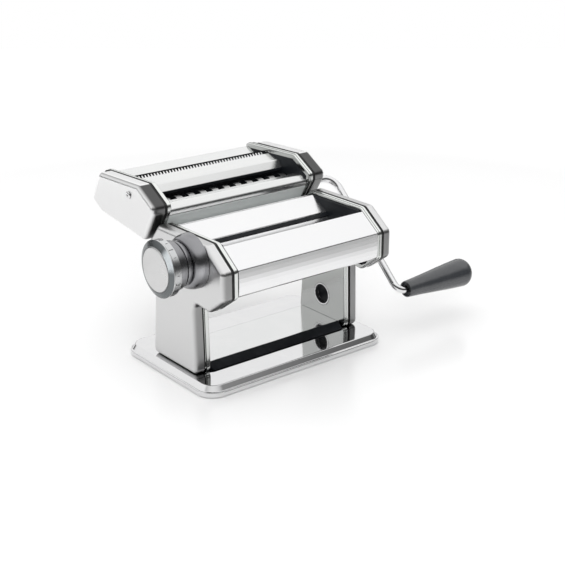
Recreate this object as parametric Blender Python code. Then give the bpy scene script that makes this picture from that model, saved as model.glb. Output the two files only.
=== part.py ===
"""A hand-cranked pasta machine with its cutter attachment hung behind the roller head.

Metres, +Z up, the base plate's middle at the machine's own origin, +X to the crank side,
+Y to the rear. The root empty moves the whole to the middle of its footprint.
"""

import bpy
import bmesh
from math import acos, cos, pi, radians, sin, sqrt, tan
from mathutils import Matrix, Vector

# Clearances between pieces
FIT = 0.0003
ROUND_STEPS = 24
CUTTER_STEPS = 10
ARC_STEPS = 2

# Base plate, its rim and feet
PLATE_SIDE = 0.0200
PLATE_DEPTH = 0.124
PLATE_TOP = 0.0100
PLATE_CORNER = 0.012
PLATE_SHEET = 0.0012
RIM_SLOPE_OUT = 0.0022
RIM_LEDGE_Z = 0.0052
RIM_OUT = 0.0045
RIM_BOTTOM_Z = 0.0010
FOOT_RADIUS = 0.009
FOOT_INSET = 0.016

# Tray between the legs and its front trim strip
TRAY_FRONT_Y = -0.0270
TRAY_REAR_Y = 0.0265
TRAY_TOP = 0.0140
TRAY_SHEET = 0.0012
STRIP_DEPTH = 0.0095
STRIP_HEIGHT = 0.0048
STRIP_END_SLANT = 0.0030

# Side frames: the pan that carries the rollers, the dark gasket and the outer cover
INNER_WIDTH = 0.152
FRAME_DEPTH = 0.0042
FRAME_SHEET = 0.0015
GASKET_THICKNESS = 0.0014
GASKET_INSET = 0.0022
GASKET_WIDTH = 0.0034
COVER_DEPTH = 0.0100
COVER_SHEET = 0.0012
COVER_EDGE = 0.0044
COVER_DRAFT = 0.0006

# Side outline of the head and legs
HEAD_TOP = 0.1318
TOP_REAR_Y = 0.0160
TOP_FRONT_Y = -0.0540
HEAD_FRONT_Y = -0.0780
NOSE_TOP = 0.1140
NOSE_LOW = 0.0900
CHIN_Y = -0.0560
CHIN_Z = 0.0740
CROTCH_FRONT_Z = 0.0765
LEG_FRONT_Y = -0.0345
LEG_REAR_Y = 0.0235
FRONT_FLARE = 0.0020
REAR_FLARE = 0.0060
REAR_CROTCH_Z = 0.0800
HEAD_REAR_Y = 0.0360
REAR_LOW = 0.0920
REAR_TOP = 0.1080
CORNER = 0.0050
CROTCH_RADIUS = 0.0060

# Dough rollers, their bearings and gears
ROLLER_RADIUS = 0.0160
ROLLER_Z = 0.1030
REAR_ROLLER_Y = -0.0020
GAP_WIDE = 0.0030
GAP_NARROW = 0.0006
JOURNAL_RADIUS = 0.0040
CHEEK_THICKNESS = 0.0020
BLOCK_HEIGHT = 0.0140
BLOCK_LENGTH = 0.0140
BLOCK_DEPTH = 0.0045
ROLLER_GEAR_TEETH = 16
ROLLER_GEAR_TIP = 0.0181
ROLLER_GEAR_ROOT = 0.0139
ROLLER_GEAR_WIDTH = 0.0050
SOCKET_RADIUS = 0.0065
HEX_ACROSS = 0.0068

# Tie rods and scrapers
TIE_RADIUS = 0.0030
FRONT_TIE = (-0.0520, 0.0840)
REAR_TIE = (0.0140, 0.0840)
TOP_TIE = (0.0220, 0.1130)
SCRAPER_SHEET = 0.0008
SCRAPER_REACH = 0.0210
SCRAPER_RISE = 0.0045

# Head covers
SHEET = 0.0010
COVER_SETBACK = 0.0008
FRONT_LIP_BEND = 0.0030
FRONT_LIP = 0.0040
CHEEK_MARGIN = 0.0012
GUIDE_FRONT = (-0.0116, 0.1183)
GUIDE_REAR = (0.0107, 0.1302)
GUIDE_HEM = 0.0060

# Clamp hole in the right leg
CLAMP_Y = -0.0032
CLAMP_Z = 0.0344
CLAMP_RADIUS = 0.0095
BUSH_WALL = 0.0012
BUSH_FLANGE = 0.0014

# Thickness regulator: knob, number ring, boss, shaft and cam
KNOB_Y = -0.0370
KNOB_Z = 0.1150
BOSS_RADIUS = 0.0235
BOSS_LENGTH = 0.0112
BOSS_END_RADIUS = 0.0185
SPIGOT_RADIUS = 0.0085
NECK_RADIUS = 0.0080
HUB_RADIUS = 0.0205
HUB_LENGTH = 0.0145
NUMBER_RADIUS = 0.0238
NUMBER_WIDTH = 0.0060
KNOB_RADIUS = 0.0242
KNOB_DEPTH = 0.0038
CAP_RADIUS = 0.0185
KNOB_PULL = 0.0040
SETTINGS = 9
SETTING_STEP = 36.0
CAM_RADIUS = 0.0056
CAM_WIDTH = 0.0036
INNER_JOURNAL = 0.0028
FOLLOWER_RADIUS = 0.0015
ARM_THICKNESS = 0.0018

# Rail on the head that the cutter attachment hangs on
RAIL_LENGTH = 0.120
RAIL_FOOT = 0.0030
RAIL_STANDOFF = 0.0050
RAIL_TONGUE = 0.0020
RAIL_DROP = 0.0132
HANGER_WALL = 0.0018
HANGER_DROP = 0.0140

# Cutter attachment: the wide cutter's axis, back and up from the head's rear top corner
WIDE_SETBACK = 0.0025
WIDE_RISE = 0.0232

# Side outline of the cutter attachment, from the wide cutter's axis
CUT_TOP_REAR = (0.0755, 0.0273)
CUT_TOP_FRONT = (0.0015, 0.0300)
CUT_NOSE_TOP = (-0.0225, 0.0158)
CUT_NOSE_LOW = (-0.0220, 0.0093)
CUT_CHIN = (-0.0055, -0.0177)
CUT_BELLY = (0.0655, -0.0087)
CUT_TAIL = (0.0810, 0.0008)
CUT_COVER_TOP_REAR = (0.0665, 0.0278)
CUT_COVER_DEPTH = 0.0130
CUT_SCREW = (0.0155, 0.0188)
SCREW_HEAD = 0.0033
SCREW_SHANK = 0.0016

# Cutter rollers: wide ribbons in front, fine ones behind
WIDE_SPACING = 0.0150
WIDE_DISC = 0.0090
WIDE_CORE = 0.0054
WIDE_DISCS = 11
FINE_BACK = 0.0435
FINE_RISE = 0.0078
FINE_SPACING = 0.0128
FINE_DISC = 0.0062
CUTTER_PLAY = 0.0010
CUT_GEAR_TEETH = 10
CUT_GEAR_WIDTH = 0.0040
CUT_TIE_RADIUS = 0.0025
CUT_TIE_UPPER = (0.0295, 0.0143)
CUT_TIE_LOWER = (0.0295, -0.0042)

# Attachment sheets, as side paths from the wide cutter's axis
REAR_SHEET = ((0.0592, 0.0206), (0.0745, 0.0243), (0.0780, 0.0018), (0.0695, -0.0050))
MIDDLE_SHEET = ((0.0418, 0.0168), (0.0406, 0.0238), (0.0228, 0.0208),
                (0.0170, 0.0130), (0.0185, 0.0113))
FRONT_SHEET = ((0.0031, 0.0124), (0.0015, 0.0133), (-0.0130, 0.0135),
               (-0.0180, 0.0088), (-0.0179, 0.0068))
LOWER_SHEET = ((-0.0167, 0.0034), (-0.0163, 0.0026), (-0.0060, -0.0147))

# Crank and its handle
CRANK_REACH = 0.1310
CRANK_ANGLE = 46.4
ROD_RADIUS = 0.0035
TOP_BEND = 0.0140
LOW_BEND = 0.0090
ARM_OFFSET = 0.0293
HANDLE_START = 0.0095
HANDLE_LENGTH = 0.0835
HANDLE_DOME = 0.0095
HANDLE_NECK = 0.0064
HANDLE_END = 0.0138
HANDLE_WALL_END = 0.0140

# Places along X, worked out from the sizes above
PLATE_WIDTH = INNER_WIDTH + 2 * PLATE_SIDE
X_FRAME = INNER_WIDTH / 2
X_RIM = X_FRAME + FRAME_DEPTH
X_GASKET = X_RIM + FIT
X_COVER = X_GASKET + GASKET_THICKNESS + FIT
X_FACE = X_COVER + COVER_DEPTH
X_CUT_FACE = X_COVER + CUT_COVER_DEPTH
X_CHEEK = X_FRAME - FIT - CHEEK_THICKNESS
X_ROLLER = X_CHEEK - FIT
SHEET_HALF = X_FRAME - FIT
FRONT_ROLLER_Y = REAR_ROLLER_Y - 2 * ROLLER_RADIUS - GAP_WIDE
GAP_TRAVEL = GAP_WIDE - GAP_NARROW
KNOB_SWEEP = (SETTINGS - 1) * SETTING_STEP
X_BOSS_END = X_FACE + FIT + BOSS_LENGTH
X_HUB = X_BOSS_END + FIT
X_NUMBERS = X_HUB + HUB_LENGTH + FIT
X_KNOB = X_NUMBERS + NUMBER_WIDTH + FIT
X_KNOB_FACE = X_KNOB + KNOB_DEPTH
LEG_BOTTOM = PLATE_TOP + FIT
RAIL_WALL_Y = HEAD_REAR_Y - COVER_SETBACK + FIT
CUTTER_LENGTH = INNER_WIDTH - 2 * CUTTER_PLAY
WIDE_PITCH = CUTTER_LENGTH / (WIDE_DISCS + 0.5)
WIDE_AXIS = (HEAD_REAR_Y + WIDE_SETBACK, REAR_TOP + WIDE_RISE)
FINE_AXIS = (WIDE_AXIS[0] + FINE_BACK, WIDE_AXIS[1] + FINE_RISE)
RAIL_TOP = WIDE_AXIS[1] - RAIL_DROP
HEAD_POINTS = (
    ("top_rear", TOP_REAR_Y, HEAD_TOP),
    ("top_front", TOP_FRONT_Y, HEAD_TOP),
    ("nose_top", HEAD_FRONT_Y, NOSE_TOP),
    ("nose_low", HEAD_FRONT_Y, NOSE_LOW),
    ("chin", CHIN_Y, CHIN_Z),
    ("front_crotch", LEG_FRONT_Y, CROTCH_FRONT_Z),
    ("foot_front", LEG_FRONT_Y - FRONT_FLARE, LEG_BOTTOM),
    ("foot_rear", LEG_REAR_Y + REAR_FLARE, LEG_BOTTOM),
    ("rear_crotch", LEG_REAR_Y, REAR_CROTCH_Z),
    ("rear_low", HEAD_REAR_Y, REAR_LOW),
    ("rear_top", HEAD_REAR_Y, REAR_TOP),
)
X_ARM = X_CUT_FACE + ARM_OFFSET
X_GEAR = X_FRAME + BLOCK_DEPTH + 2 * FIT
X_SOCKET = X_GEAR + ROLLER_GEAR_WIDTH + 2 * FIT
GREY = (0.30, 0.30, 0.31)
CHROME = (0.80, 0.80, 0.80)
SATIN = (0.62, 0.62, 0.63)
BLACK = (0.02, 0.02, 0.02)
PLACES = {}


# Scene, materials and objects
def clear_scene():
    for item in list(bpy.data.objects):
        bpy.data.objects.remove(item, do_unlink=True)


def material(name, colour, roughness, metallic):
    found = bpy.data.materials.new(name)
    found.use_nodes = True
    shader = found.node_tree.nodes["Principled BSDF"]
    shader.inputs["Base Color"].default_value = (*colour, 1.0)
    shader.inputs["Roughness"].default_value = roughness
    shader.inputs["Metallic"].default_value = metallic
    return found


def empty(name, place=(0, 0, 0), parent=None):
    item = bpy.data.objects.new(name, None)
    item.empty_display_size = 0.02
    bpy.context.scene.collection.objects.link(item)
    PLACES[name] = Vector(place)
    item.location = PLACES[name]
    if parent:
        item.parent = parent
        item.location -= PLACES[parent.name]
    return item


def add(name, bm, parent, look, origin=None):
    """Turns a bmesh in machine coordinates into an object with its origin at a given place."""
    place = Vector(origin) if origin else PLACES[parent.name].copy()
    bmesh.ops.translate(bm, verts=bm.verts, vec=-place)
    bmesh.ops.recalc_face_normals(bm, faces=bm.faces)
    mesh = bpy.data.meshes.new(name)
    bm.to_mesh(mesh)
    bm.free()
    mesh.shade_smooth()
    mesh.set_sharp_from_angle(angle=radians(32))
    item = bpy.data.objects.new(name, mesh)
    bpy.context.scene.collection.objects.link(item)
    item.parent = parent
    item.location = place - PLACES[parent.name]
    if look:
        colour, roughness, metallic = look
        mesh.materials.append(material(name, colour, roughness, metallic))
    return item


# Outlines in the side plane, as lists of (y, z)
def meet(a, b, c, shift):
    """The corner b of a-b-c after both its sides move left by a distance."""
    first = (Vector(b[:2]) - Vector(a[:2])).normalized()
    second = (Vector(c[:2]) - Vector(b[:2])).normalized()
    normal = Vector((-first.y - second.y, first.x + second.x)).normalized()
    cosine = normal.dot(Vector((-first.y, first.x)))
    return Vector(b[:2]) + normal * (shift / cosine)


def rounded(corners, inset=0.0, steps=ARC_STEPS):
    """An anticlockwise outline of (y, z, radius) corners, moved inwards and rounded."""
    count = len(corners)
    moved = []
    for i, corner in enumerate(corners):
        before, after = corners[i - 1], corners[(i + 1) % count]
        turn = (Vector(corner[:2]) - Vector(before[:2])).cross(Vector(after[:2]) - Vector(corner[:2]))
        radius = corner[2] - inset if turn > 0 else corner[2] + inset
        moved.append((meet(before, corner, after, inset), max(radius, 0.0004)))
    points = []
    for i, (corner, radius) in enumerate(moved):
        back = (moved[i - 1][0] - corner).normalized()
        ahead = (moved[(i + 1) % count][0] - corner).normalized()
        half = acos(max(-1.0, min(1.0, back.dot(ahead)))) / 2
        start = corner + back * (radius / tan(half))
        centre = corner + (back + ahead).normalized() * (radius / sin(half))
        spoke = start - centre
        sweep = (pi - 2 * half) * (-1 if back.cross(ahead) > 0 else 1)
        for k in range(steps + 1):
            angle = sweep * k / steps
            turned_y = spoke.x * cos(angle) - spoke.y * sin(angle)
            turned_z = spoke.x * sin(angle) + spoke.y * cos(angle)
            points.append((centre.x + turned_y, centre.y + turned_z))
    return points


def ribbon(path, thickness):
    """The outline of a bent sheet: its path and the same path moved left by its thickness."""
    last = len(path) - 1
    moved = []
    for i, point in enumerate(path):
        before = path[i - 1] if i else tuple(2 * p - q for p, q in zip(point, path[1]))
        after = path[i + 1] if i < last else tuple(2 * p - q for p, q in zip(point, path[i - 1]))
        moved.append(tuple(meet(before, point, after, thickness)))
    return list(path) + moved[::-1]


def circle(centre, radius, sides, phase=0.0):
    angles = (phase + 2 * pi * k / sides for k in range(sides))
    return [(centre[0] + radius * cos(a), centre[1] + radius * sin(a)) for a in angles]


def along(a, b, share):
    return tuple(p + (q - p) * share for p, q in zip(a, b))


# Solids made from outlines
def prism(outline, x0, x1):
    """A side outline drawn out along X."""
    bm = bmesh.new()
    face = bm.faces.new([bm.verts.new((x0, y, z)) for y, z in outline])
    drawn = bmesh.ops.extrude_face_region(bm, geom=[face])["geom"]
    moved = [v for v in drawn if isinstance(v, bmesh.types.BMVert)]
    bmesh.ops.translate(bm, verts=moved, vec=(x1 - x0, 0, 0))
    return bm


def loft(loops, closed=False):
    """A skin over loops of equal length, capped at both ends or closed into a ring."""
    bm = bmesh.new()
    rows = [[bm.verts.new(point) for point in loop] for loop in loops]
    pairs = list(zip(rows, rows[1:]))
    if closed:
        pairs.append((rows[-1], rows[0]))
    for low, high in pairs:
        for i in range(len(low)):
            bm.faces.new((low[i - 1], low[i], high[i], high[i - 1]))
    if not closed:
        bm.faces.new(rows[0])
        bm.faces.new(rows[-1])
    return bm


def side_loop(corners, side, x, inset):
    return [(side * x, y, z) for y, z in rounded(corners, inset)]


def turned(profile, centre, side=1, steps=ROUND_STEPS, ring=False):
    """A profile of (distance along X, radius) spun round an X axis through (y, z)."""
    bm = bmesh.new()
    verts = [bm.verts.new((side * x, centre[0], centre[1] + radius)) for x, radius in profile]
    edges = [bm.edges.new(pair) for pair in zip(verts, verts[1:])]
    if ring:
        edges.append(bm.edges.new((verts[-1], verts[0])))
    bmesh.ops.spin(bm, geom=verts + edges, cent=(0, *centre), axis=(1, 0, 0), dvec=(0, 0, 0),
                   angle=2 * pi, steps=steps, use_merge=True, use_duplicate=False)
    bmesh.ops.remove_doubles(bm, verts=bm.verts, dist=1e-6)
    return bm


def cylinder(x0, x1, radius, centre, steps=ROUND_STEPS):
    return turned([(x0, 0), (x0, radius), (x1, radius), (x1, 0)], centre, 1, steps)


# Cuts and joins
def tool(name, bm, parent):
    item = add(name, bm, parent, None)
    item.hide_render = True
    item.display_type = "WIRE"
    return item


def boolean(item, other, operation):
    change = item.modifiers.new(other.name, "BOOLEAN")
    change.operation = operation
    change.solver = "EXACT"
    change.object = other


def bore(item, centre, radius, x0, x1, steps=ROUND_STEPS, slide=0.0):
    """A round hole along X, or a slot where the hole slides along Y."""
    parent = item.parent
    outline = [(centre[0] + radius * cos(a) + (slide if cos(a) > 0 else 0), centre[1] + radius * sin(a))
               for a in (2 * pi * (k + 0.5) / steps for k in range(steps))]
    cutter = tool(item.name + "_hole", prism(outline, min(x0, x1), max(x0, x1)), parent)
    boolean(item, cutter, "DIFFERENCE")


def hexagon(centre, across):
    """A socket's hexagon, turned to the crank's angle so that the crank's end fits it."""
    return circle(centre, across / sqrt(3), 6, radians(270 - CRANK_ANGLE))


# Side outlines of the two housings
def head_corners():
    return [(y, z, CROTCH_RADIUS if "crotch" in name else CORNER) for name, y, z in HEAD_POINTS]


def hung(offset):
    """A place on the cutter attachment, measured from the wide cutter's axis."""
    return (WIDE_AXIS[0] + offset[0], WIDE_AXIS[1] + offset[1])


def cutter_corners(top_rear=CUT_TOP_REAR):
    corners = (top_rear, CUT_TOP_FRONT, CUT_NOSE_TOP, CUT_NOSE_LOW, CUT_CHIN, CUT_BELLY, CUT_TAIL)
    return [(*hung(corner), CORNER) for corner in corners]


def pan(corners, side):
    """A pressed side frame: a flat wall towards the rollers with a rim turned outwards."""
    edge = FRAME_SHEET / 2
    stations = [(X_FRAME + FRAME_SHEET, FRAME_SHEET), (X_RIM, FRAME_SHEET), (X_RIM, 0),
                (X_FRAME + edge, 0), (X_FRAME, edge)]
    return loft([side_loop(corners, side, x, inset) for x, inset in stations])


def gasket(corners, side):
    near, far = X_GASKET, X_GASKET + GASKET_THICKNESS
    inner = GASKET_INSET + GASKET_WIDTH
    stations = [(near, GASKET_INSET), (far, GASKET_INSET), (far, inner), (near, inner)]
    return loft([side_loop(corners, side, x, inset) for x, inset in stations], closed=True)


def shell(corners, side, depth):
    """A pressed outer cover, open towards the frame, with a rounded outer edge."""
    face = X_COVER + depth
    bend = COVER_EDGE - COVER_DRAFT
    stations = [(face - COVER_SHEET, COVER_EDGE), (face - COVER_EDGE, COVER_DRAFT + COVER_SHEET),
                (X_COVER, COVER_SHEET), (X_COVER, 0)]
    for k in range(ARC_STEPS + 2):
        angle = pi / 2 * k / (ARC_STEPS + 1)
        stations.append((face - bend * (1 - sin(angle)), COVER_DRAFT + bend * (1 - cos(angle))))
    return loft([side_loop(corners, side, x, inset) for x, inset in stations])


# Base
def base(root):
    half_w, half_d = PLATE_WIDTH / 2, PLATE_DEPTH / 2

    def rim(out, z, radius):
        corners = [(half_w + out, half_d + out, radius), (-half_w - out, half_d + out, radius),
                   (-half_w - out, -half_d - out, radius), (half_w + out, -half_d - out, radius)]
        return [(x, y, z) for x, y in rounded(corners, 0.0, 5)]

    sheet = PLATE_SHEET
    flange = RIM_OUT
    loops = [
        rim(-sheet, PLATE_TOP - sheet, PLATE_CORNER - sheet),
        rim(RIM_SLOPE_OUT - sheet, RIM_LEDGE_Z - sheet, PLATE_CORNER),
        rim(flange - sheet, RIM_LEDGE_Z - sheet, PLATE_CORNER + RIM_SLOPE_OUT),
        rim(flange - sheet, RIM_BOTTOM_Z, PLATE_CORNER + RIM_SLOPE_OUT),
        rim(flange, RIM_BOTTOM_Z, PLATE_CORNER + flange),
        rim(flange, RIM_LEDGE_Z - sheet / 2, PLATE_CORNER + flange),
        rim(flange - sheet / 2, RIM_LEDGE_Z, PLATE_CORNER + RIM_SLOPE_OUT),
        rim(RIM_SLOPE_OUT, RIM_LEDGE_Z, PLATE_CORNER + RIM_SLOPE_OUT),
        rim(sheet / 2, PLATE_TOP - sheet / 2, PLATE_CORNER),
        rim(0, PLATE_TOP, PLATE_CORNER),
    ]
    add("base_plate", loft(loops), root, (CHROME, 0.10, 1.0))
    for row, y in (("front", -1), ("rear", 1)):
        for hand, x in (("left", -1), ("right", 1)):
            centre = (x * (half_w - FOOT_INSET), y * (half_d - FOOT_INSET))
            top = PLATE_TOP - sheet - FIT
            bm = bmesh.new()
            bmesh.ops.create_cone(bm, cap_ends=True, segments=20, radius1=FOOT_RADIUS - 0.001,
                                  radius2=FOOT_RADIUS, depth=top,
                                  matrix=Matrix.Translation((*centre, top / 2)))
            add(f"foot_{row}_{hand}", bm, root, (BLACK, 0.7, 0.0), (*centre, 0))


def tray(root):
    low = PLATE_TOP + FIT
    path = [(TRAY_REAR_Y, low), (TRAY_REAR_Y, TRAY_TOP), (TRAY_FRONT_Y, TRAY_TOP), (TRAY_FRONT_Y, low)]
    add("tray", prism(ribbon(path, TRAY_SHEET), -SHEET_HALF, SHEET_HALF), root, (CHROME, 0.12, 1.0))
    back = TRAY_FRONT_Y - FIT
    outline = [(back, low), (back, low + STRIP_HEIGHT - 0.0006), (back - 0.0012, low + STRIP_HEIGHT),
               (back - STRIP_DEPTH, low + 0.0006), (back - STRIP_DEPTH, low)]
    slant = STRIP_END_SLANT / STRIP_DEPTH
    ends = [[(side * (SHEET_HALF - (back - y) * slant), y, z) for y, z in outline] for side in (-1, 1)]
    add("tray_strip", loft(ends), root, (BLACK, 0.45, 0.0))


# Head
def sides(root):
    corners = head_corners()
    for hand, side in (("left", -1), ("right", 1)):
        frame = add(f"frame_{hand}", pan(corners, side), root, (CHROME, 0.10, 1.0))
        add(f"gasket_{hand}", gasket(corners, side), root, (BLACK, 0.6, 0.0))
        cover = add(f"side_cover_{hand}", shell(corners, side, COVER_DEPTH), root, (SATIN, 0.32, 1.0))
        wall = (side * (X_FRAME - 0.001), side * (X_FRAME + FRAME_SHEET + 0.001))
        bore(frame, (REAR_ROLLER_Y, ROLLER_Z), JOURNAL_RADIUS + FIT, *wall)
        block_slot(frame, side)
        skin = (side * (X_FACE - COVER_SHEET - 0.001), side * (X_FACE + 0.001))
        if side < 0:
            bore(frame, (KNOB_Y, KNOB_Z), INNER_JOURNAL + FIT, *wall)
            bore(cover, (KNOB_Y, KNOB_Z), SPIGOT_RADIUS + FIT, *skin)
        else:
            bore(cover, (REAR_ROLLER_Y, ROLLER_Z), SOCKET_RADIUS + FIT, *skin)
            bush_hole = CLAMP_RADIUS + BUSH_WALL + FIT
            bore(frame, (CLAMP_Y, CLAMP_Z), bush_hole, *wall)
            bore(cover, (CLAMP_Y, CLAMP_Z), bush_hole, *skin)
    bush(root)


def block_slot(frame, side):
    half_length, half_height = BLOCK_LENGTH / 2 + FIT, BLOCK_HEIGHT / 2 + FIT
    outline = [(FRONT_ROLLER_Y - half_length, ROLLER_Z - half_height),
               (FRONT_ROLLER_Y + half_length + GAP_TRAVEL, ROLLER_Z - half_height),
               (FRONT_ROLLER_Y + half_length + GAP_TRAVEL, ROLLER_Z + half_height),
               (FRONT_ROLLER_Y - half_length, ROLLER_Z + half_height)]
    near, far = sorted((side * (X_FRAME - 0.001), side * (X_FRAME + FRAME_SHEET + 0.001)))
    boolean(frame, tool(frame.name + "_slot", prism(outline, near, far), frame.parent), "DIFFERENCE")


def bush(root):
    inner, outer = CLAMP_RADIUS, CLAMP_RADIUS + BUSH_WALL
    flange = outer + BUSH_FLANGE
    end = X_FACE + FIT
    profile = [(X_FRAME, inner), (end + 0.0008, inner), (end + 0.0008, flange), (end, flange),
               (end, outer), (X_FRAME, outer)]
    add("clamp_bush", turned(profile, (CLAMP_Y, CLAMP_Z), ring=True), root, (BLACK, 0.4, 0.0))


def cheeks(root):
    """Dark plates inside the head that close the roller chamber at each end."""
    inset = COVER_SETBACK + SHEET + CHEEK_MARGIN
    low = ROLLER_Z - ROLLER_RADIUS - 0.0070
    points = {name: (y, z) for name, y, z in HEAD_POINTS}
    top = meet(points["top_rear"], points["top_front"], points["nose_top"], inset)
    top_rear = meet(points["rear_top"], points["top_rear"], points["top_front"], inset)
    front = meet(points["top_front"], points["nose_top"], points["nose_low"], inset)
    rear = meet(points["rear_low"], points["rear_top"], points["top_rear"], inset)
    rear_low = meet(points["rear_crotch"], points["rear_low"], points["rear_top"], inset)
    heel = meet(points["foot_rear"], points["rear_crotch"], points["rear_low"], inset)
    lip_end = HEAD_FRONT_Y + COVER_SETBACK + FRONT_LIP_BEND + FRONT_LIP
    outline = [
        tuple(top_rear),
        tuple(top),
        tuple(front),
        (front.x, NOSE_LOW + 0.0035),
        (lip_end + 0.0012, NOSE_LOW + 0.0010),
        (CHIN_Y - 0.0040, low),
        along(rear_low, heel, (rear_low.y - low) / (rear_low.y - heel.y)),
        tuple(rear_low),
        tuple(rear),
    ]
    for hand, side in (("left", -1), ("right", 1)):
        near, far = sorted((side * X_CHEEK, side * (X_FRAME - FIT)))
        cheek = add(f"cheek_{hand}", prism(outline, near, far), root, (BLACK, 0.4, 0.0))
        through = (near - 0.001, far + 0.001)
        bore(cheek, (REAR_ROLLER_Y, ROLLER_Z), JOURNAL_RADIUS + FIT, *through)
        bore(cheek, (FRONT_ROLLER_Y, ROLLER_Z), JOURNAL_RADIUS + FIT, *through, slide=GAP_TRAVEL)


def head_covers(root):
    look = (CHROME, 0.12, 1.0)
    points = {name: (y, z) for name, y, z in HEAD_POINTS}
    back = COVER_SETBACK
    crease = meet(points["top_front"], points["nose_top"], points["nose_low"], back)
    upper = meet(points["top_rear"], points["top_front"], points["nose_top"], back)
    lip_y = crease.x + FRONT_LIP_BEND
    path = [along(upper, crease, 0.13), tuple(crease), (crease.x, NOSE_LOW + 0.0016),
            (lip_y, NOSE_LOW - 0.0008), (lip_y + FRONT_LIP, NOSE_LOW - 0.0008)]
    add("front_cover", prism(ribbon(path, SHEET), -SHEET_HALF, SHEET_HALF), root, look)
    rear_top = meet(points["rear_low"], points["rear_top"], points["top_rear"], back)
    rear_low = meet(points["rear_crotch"], points["rear_low"], points["rear_top"], back)
    lip = meet(points["foot_rear"], points["rear_crotch"], points["rear_low"], back)
    upper = along(rear_top, (TOP_REAR_Y, HEAD_TOP - back), 0.80)
    path = [tuple(lip), tuple(rear_low), tuple(rear_top), upper]
    add("rear_cover", prism(ribbon(path, SHEET), -SHEET_HALF, SHEET_HALF), root, look)
    hem = (GUIDE_REAR[0] + 0.0012, GUIDE_REAR[1] - GUIDE_HEM)
    nose = (GUIDE_FRONT[0] + 0.0006, GUIDE_FRONT[1] - 0.0010)
    path = [hem, GUIDE_REAR, GUIDE_FRONT, nose]
    add("dough_guide", prism(ribbon(path, SHEET), -X_ROLLER, X_ROLLER), root, look)


def inside_head(root):
    look = (CHROME, 0.2, 1.0)
    for name, centre in (("front", FRONT_TIE), ("rear", REAR_TIE), ("top", TOP_TIE)):
        rod = cylinder(-X_ROLLER, X_ROLLER, TIE_RADIUS, centre, 20)
        add(f"tie_rod_{name}", rod, root, look, (0, *centre))
    for name, tie, way in (("front", FRONT_TIE, 1), ("rear", REAR_TIE, -1)):
        y, z = tie[0], tie[1] - TIE_RADIUS - FIT
        path = [(y - way * TIE_RADIUS, z), (y + way * TIE_RADIUS, z),
                (y + way * SCRAPER_REACH, z + SCRAPER_RISE)]
        path = path if way < 0 else path[::-1]
        add(f"scraper_{name}", prism(ribbon(path, SCRAPER_SHEET), -X_ROLLER, X_ROLLER), root, look)
    rail(root)


def rail(root):
    wall, tongue = RAIL_WALL_Y, RAIL_WALL_Y + RAIL_STANDOFF
    low = REAR_LOW + 0.0030
    rear = tongue + RAIL_TONGUE
    outline = [(wall, low), (rear, low), (rear, RAIL_TOP), (tongue, RAIL_TOP),
               (tongue, low + RAIL_FOOT), (wall, low + RAIL_FOOT)]
    add("mount_rail", prism(outline, -RAIL_LENGTH / 2, RAIL_LENGTH / 2), root, (SATIN, 0.35, 1.0))


# Rollers and gears
def gear(centre, tip, root_radius, teeth, x0, x1, phase):
    """Long, slim, tapered teeth that stay in mesh while the shafts' distance changes."""
    outline = []
    for k in range(teeth):
        middle = phase + 2 * pi * k / teeth
        for radius, share in ((root_radius, -0.30), (tip, -0.13), (tip, 0.13), (root_radius, 0.30)):
            angle = middle + share * 2 * pi / teeth
            outline.append((centre[0] + radius * cos(angle), centre[1] + radius * sin(angle)))
    return prism(outline, x0, x1)


def rear_roller(root):
    centre = (REAR_ROLLER_Y, ROLLER_Z)
    axle = empty("rear_roller_axis", (0, *centre), root)
    profile = [(-X_FRAME - FRAME_SHEET - 0.002, 0), (-X_FRAME - FRAME_SHEET - 0.002, JOURNAL_RADIUS),
               (-X_ROLLER, JOURNAL_RADIUS), (-X_ROLLER, ROLLER_RADIUS), (X_ROLLER, ROLLER_RADIUS),
               (X_ROLLER, JOURNAL_RADIUS), (X_SOCKET, JOURNAL_RADIUS), (X_SOCKET, SOCKET_RADIUS),
               (X_FACE + FIT, SOCKET_RADIUS), (X_FACE + FIT, 0)]
    roller = add("rear_roller", turned(profile, centre), axle, (SATIN, 0.25, 1.0))
    hollow = prism(hexagon(centre, HEX_ACROSS + 2 * FIT), X_SOCKET + 0.0012, X_FACE + 0.001)
    boolean(roller, tool("rear_roller_socket", hollow, axle), "DIFFERENCE")
    roller_gear("rear_roller_gear", centre, axle, 0.0)


def roller_gear(name, centre, axle, phase):
    end = X_GEAR + ROLLER_GEAR_WIDTH
    bm = gear(centre, ROLLER_GEAR_TIP, ROLLER_GEAR_ROOT, ROLLER_GEAR_TEETH, X_GEAR, end, phase)
    wheel = add(name, bm, axle, (GREY, 0.4, 1.0))
    bore(wheel, centre, JOURNAL_RADIUS + FIT, X_GEAR - 0.001, end + 0.001, 24)


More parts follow.
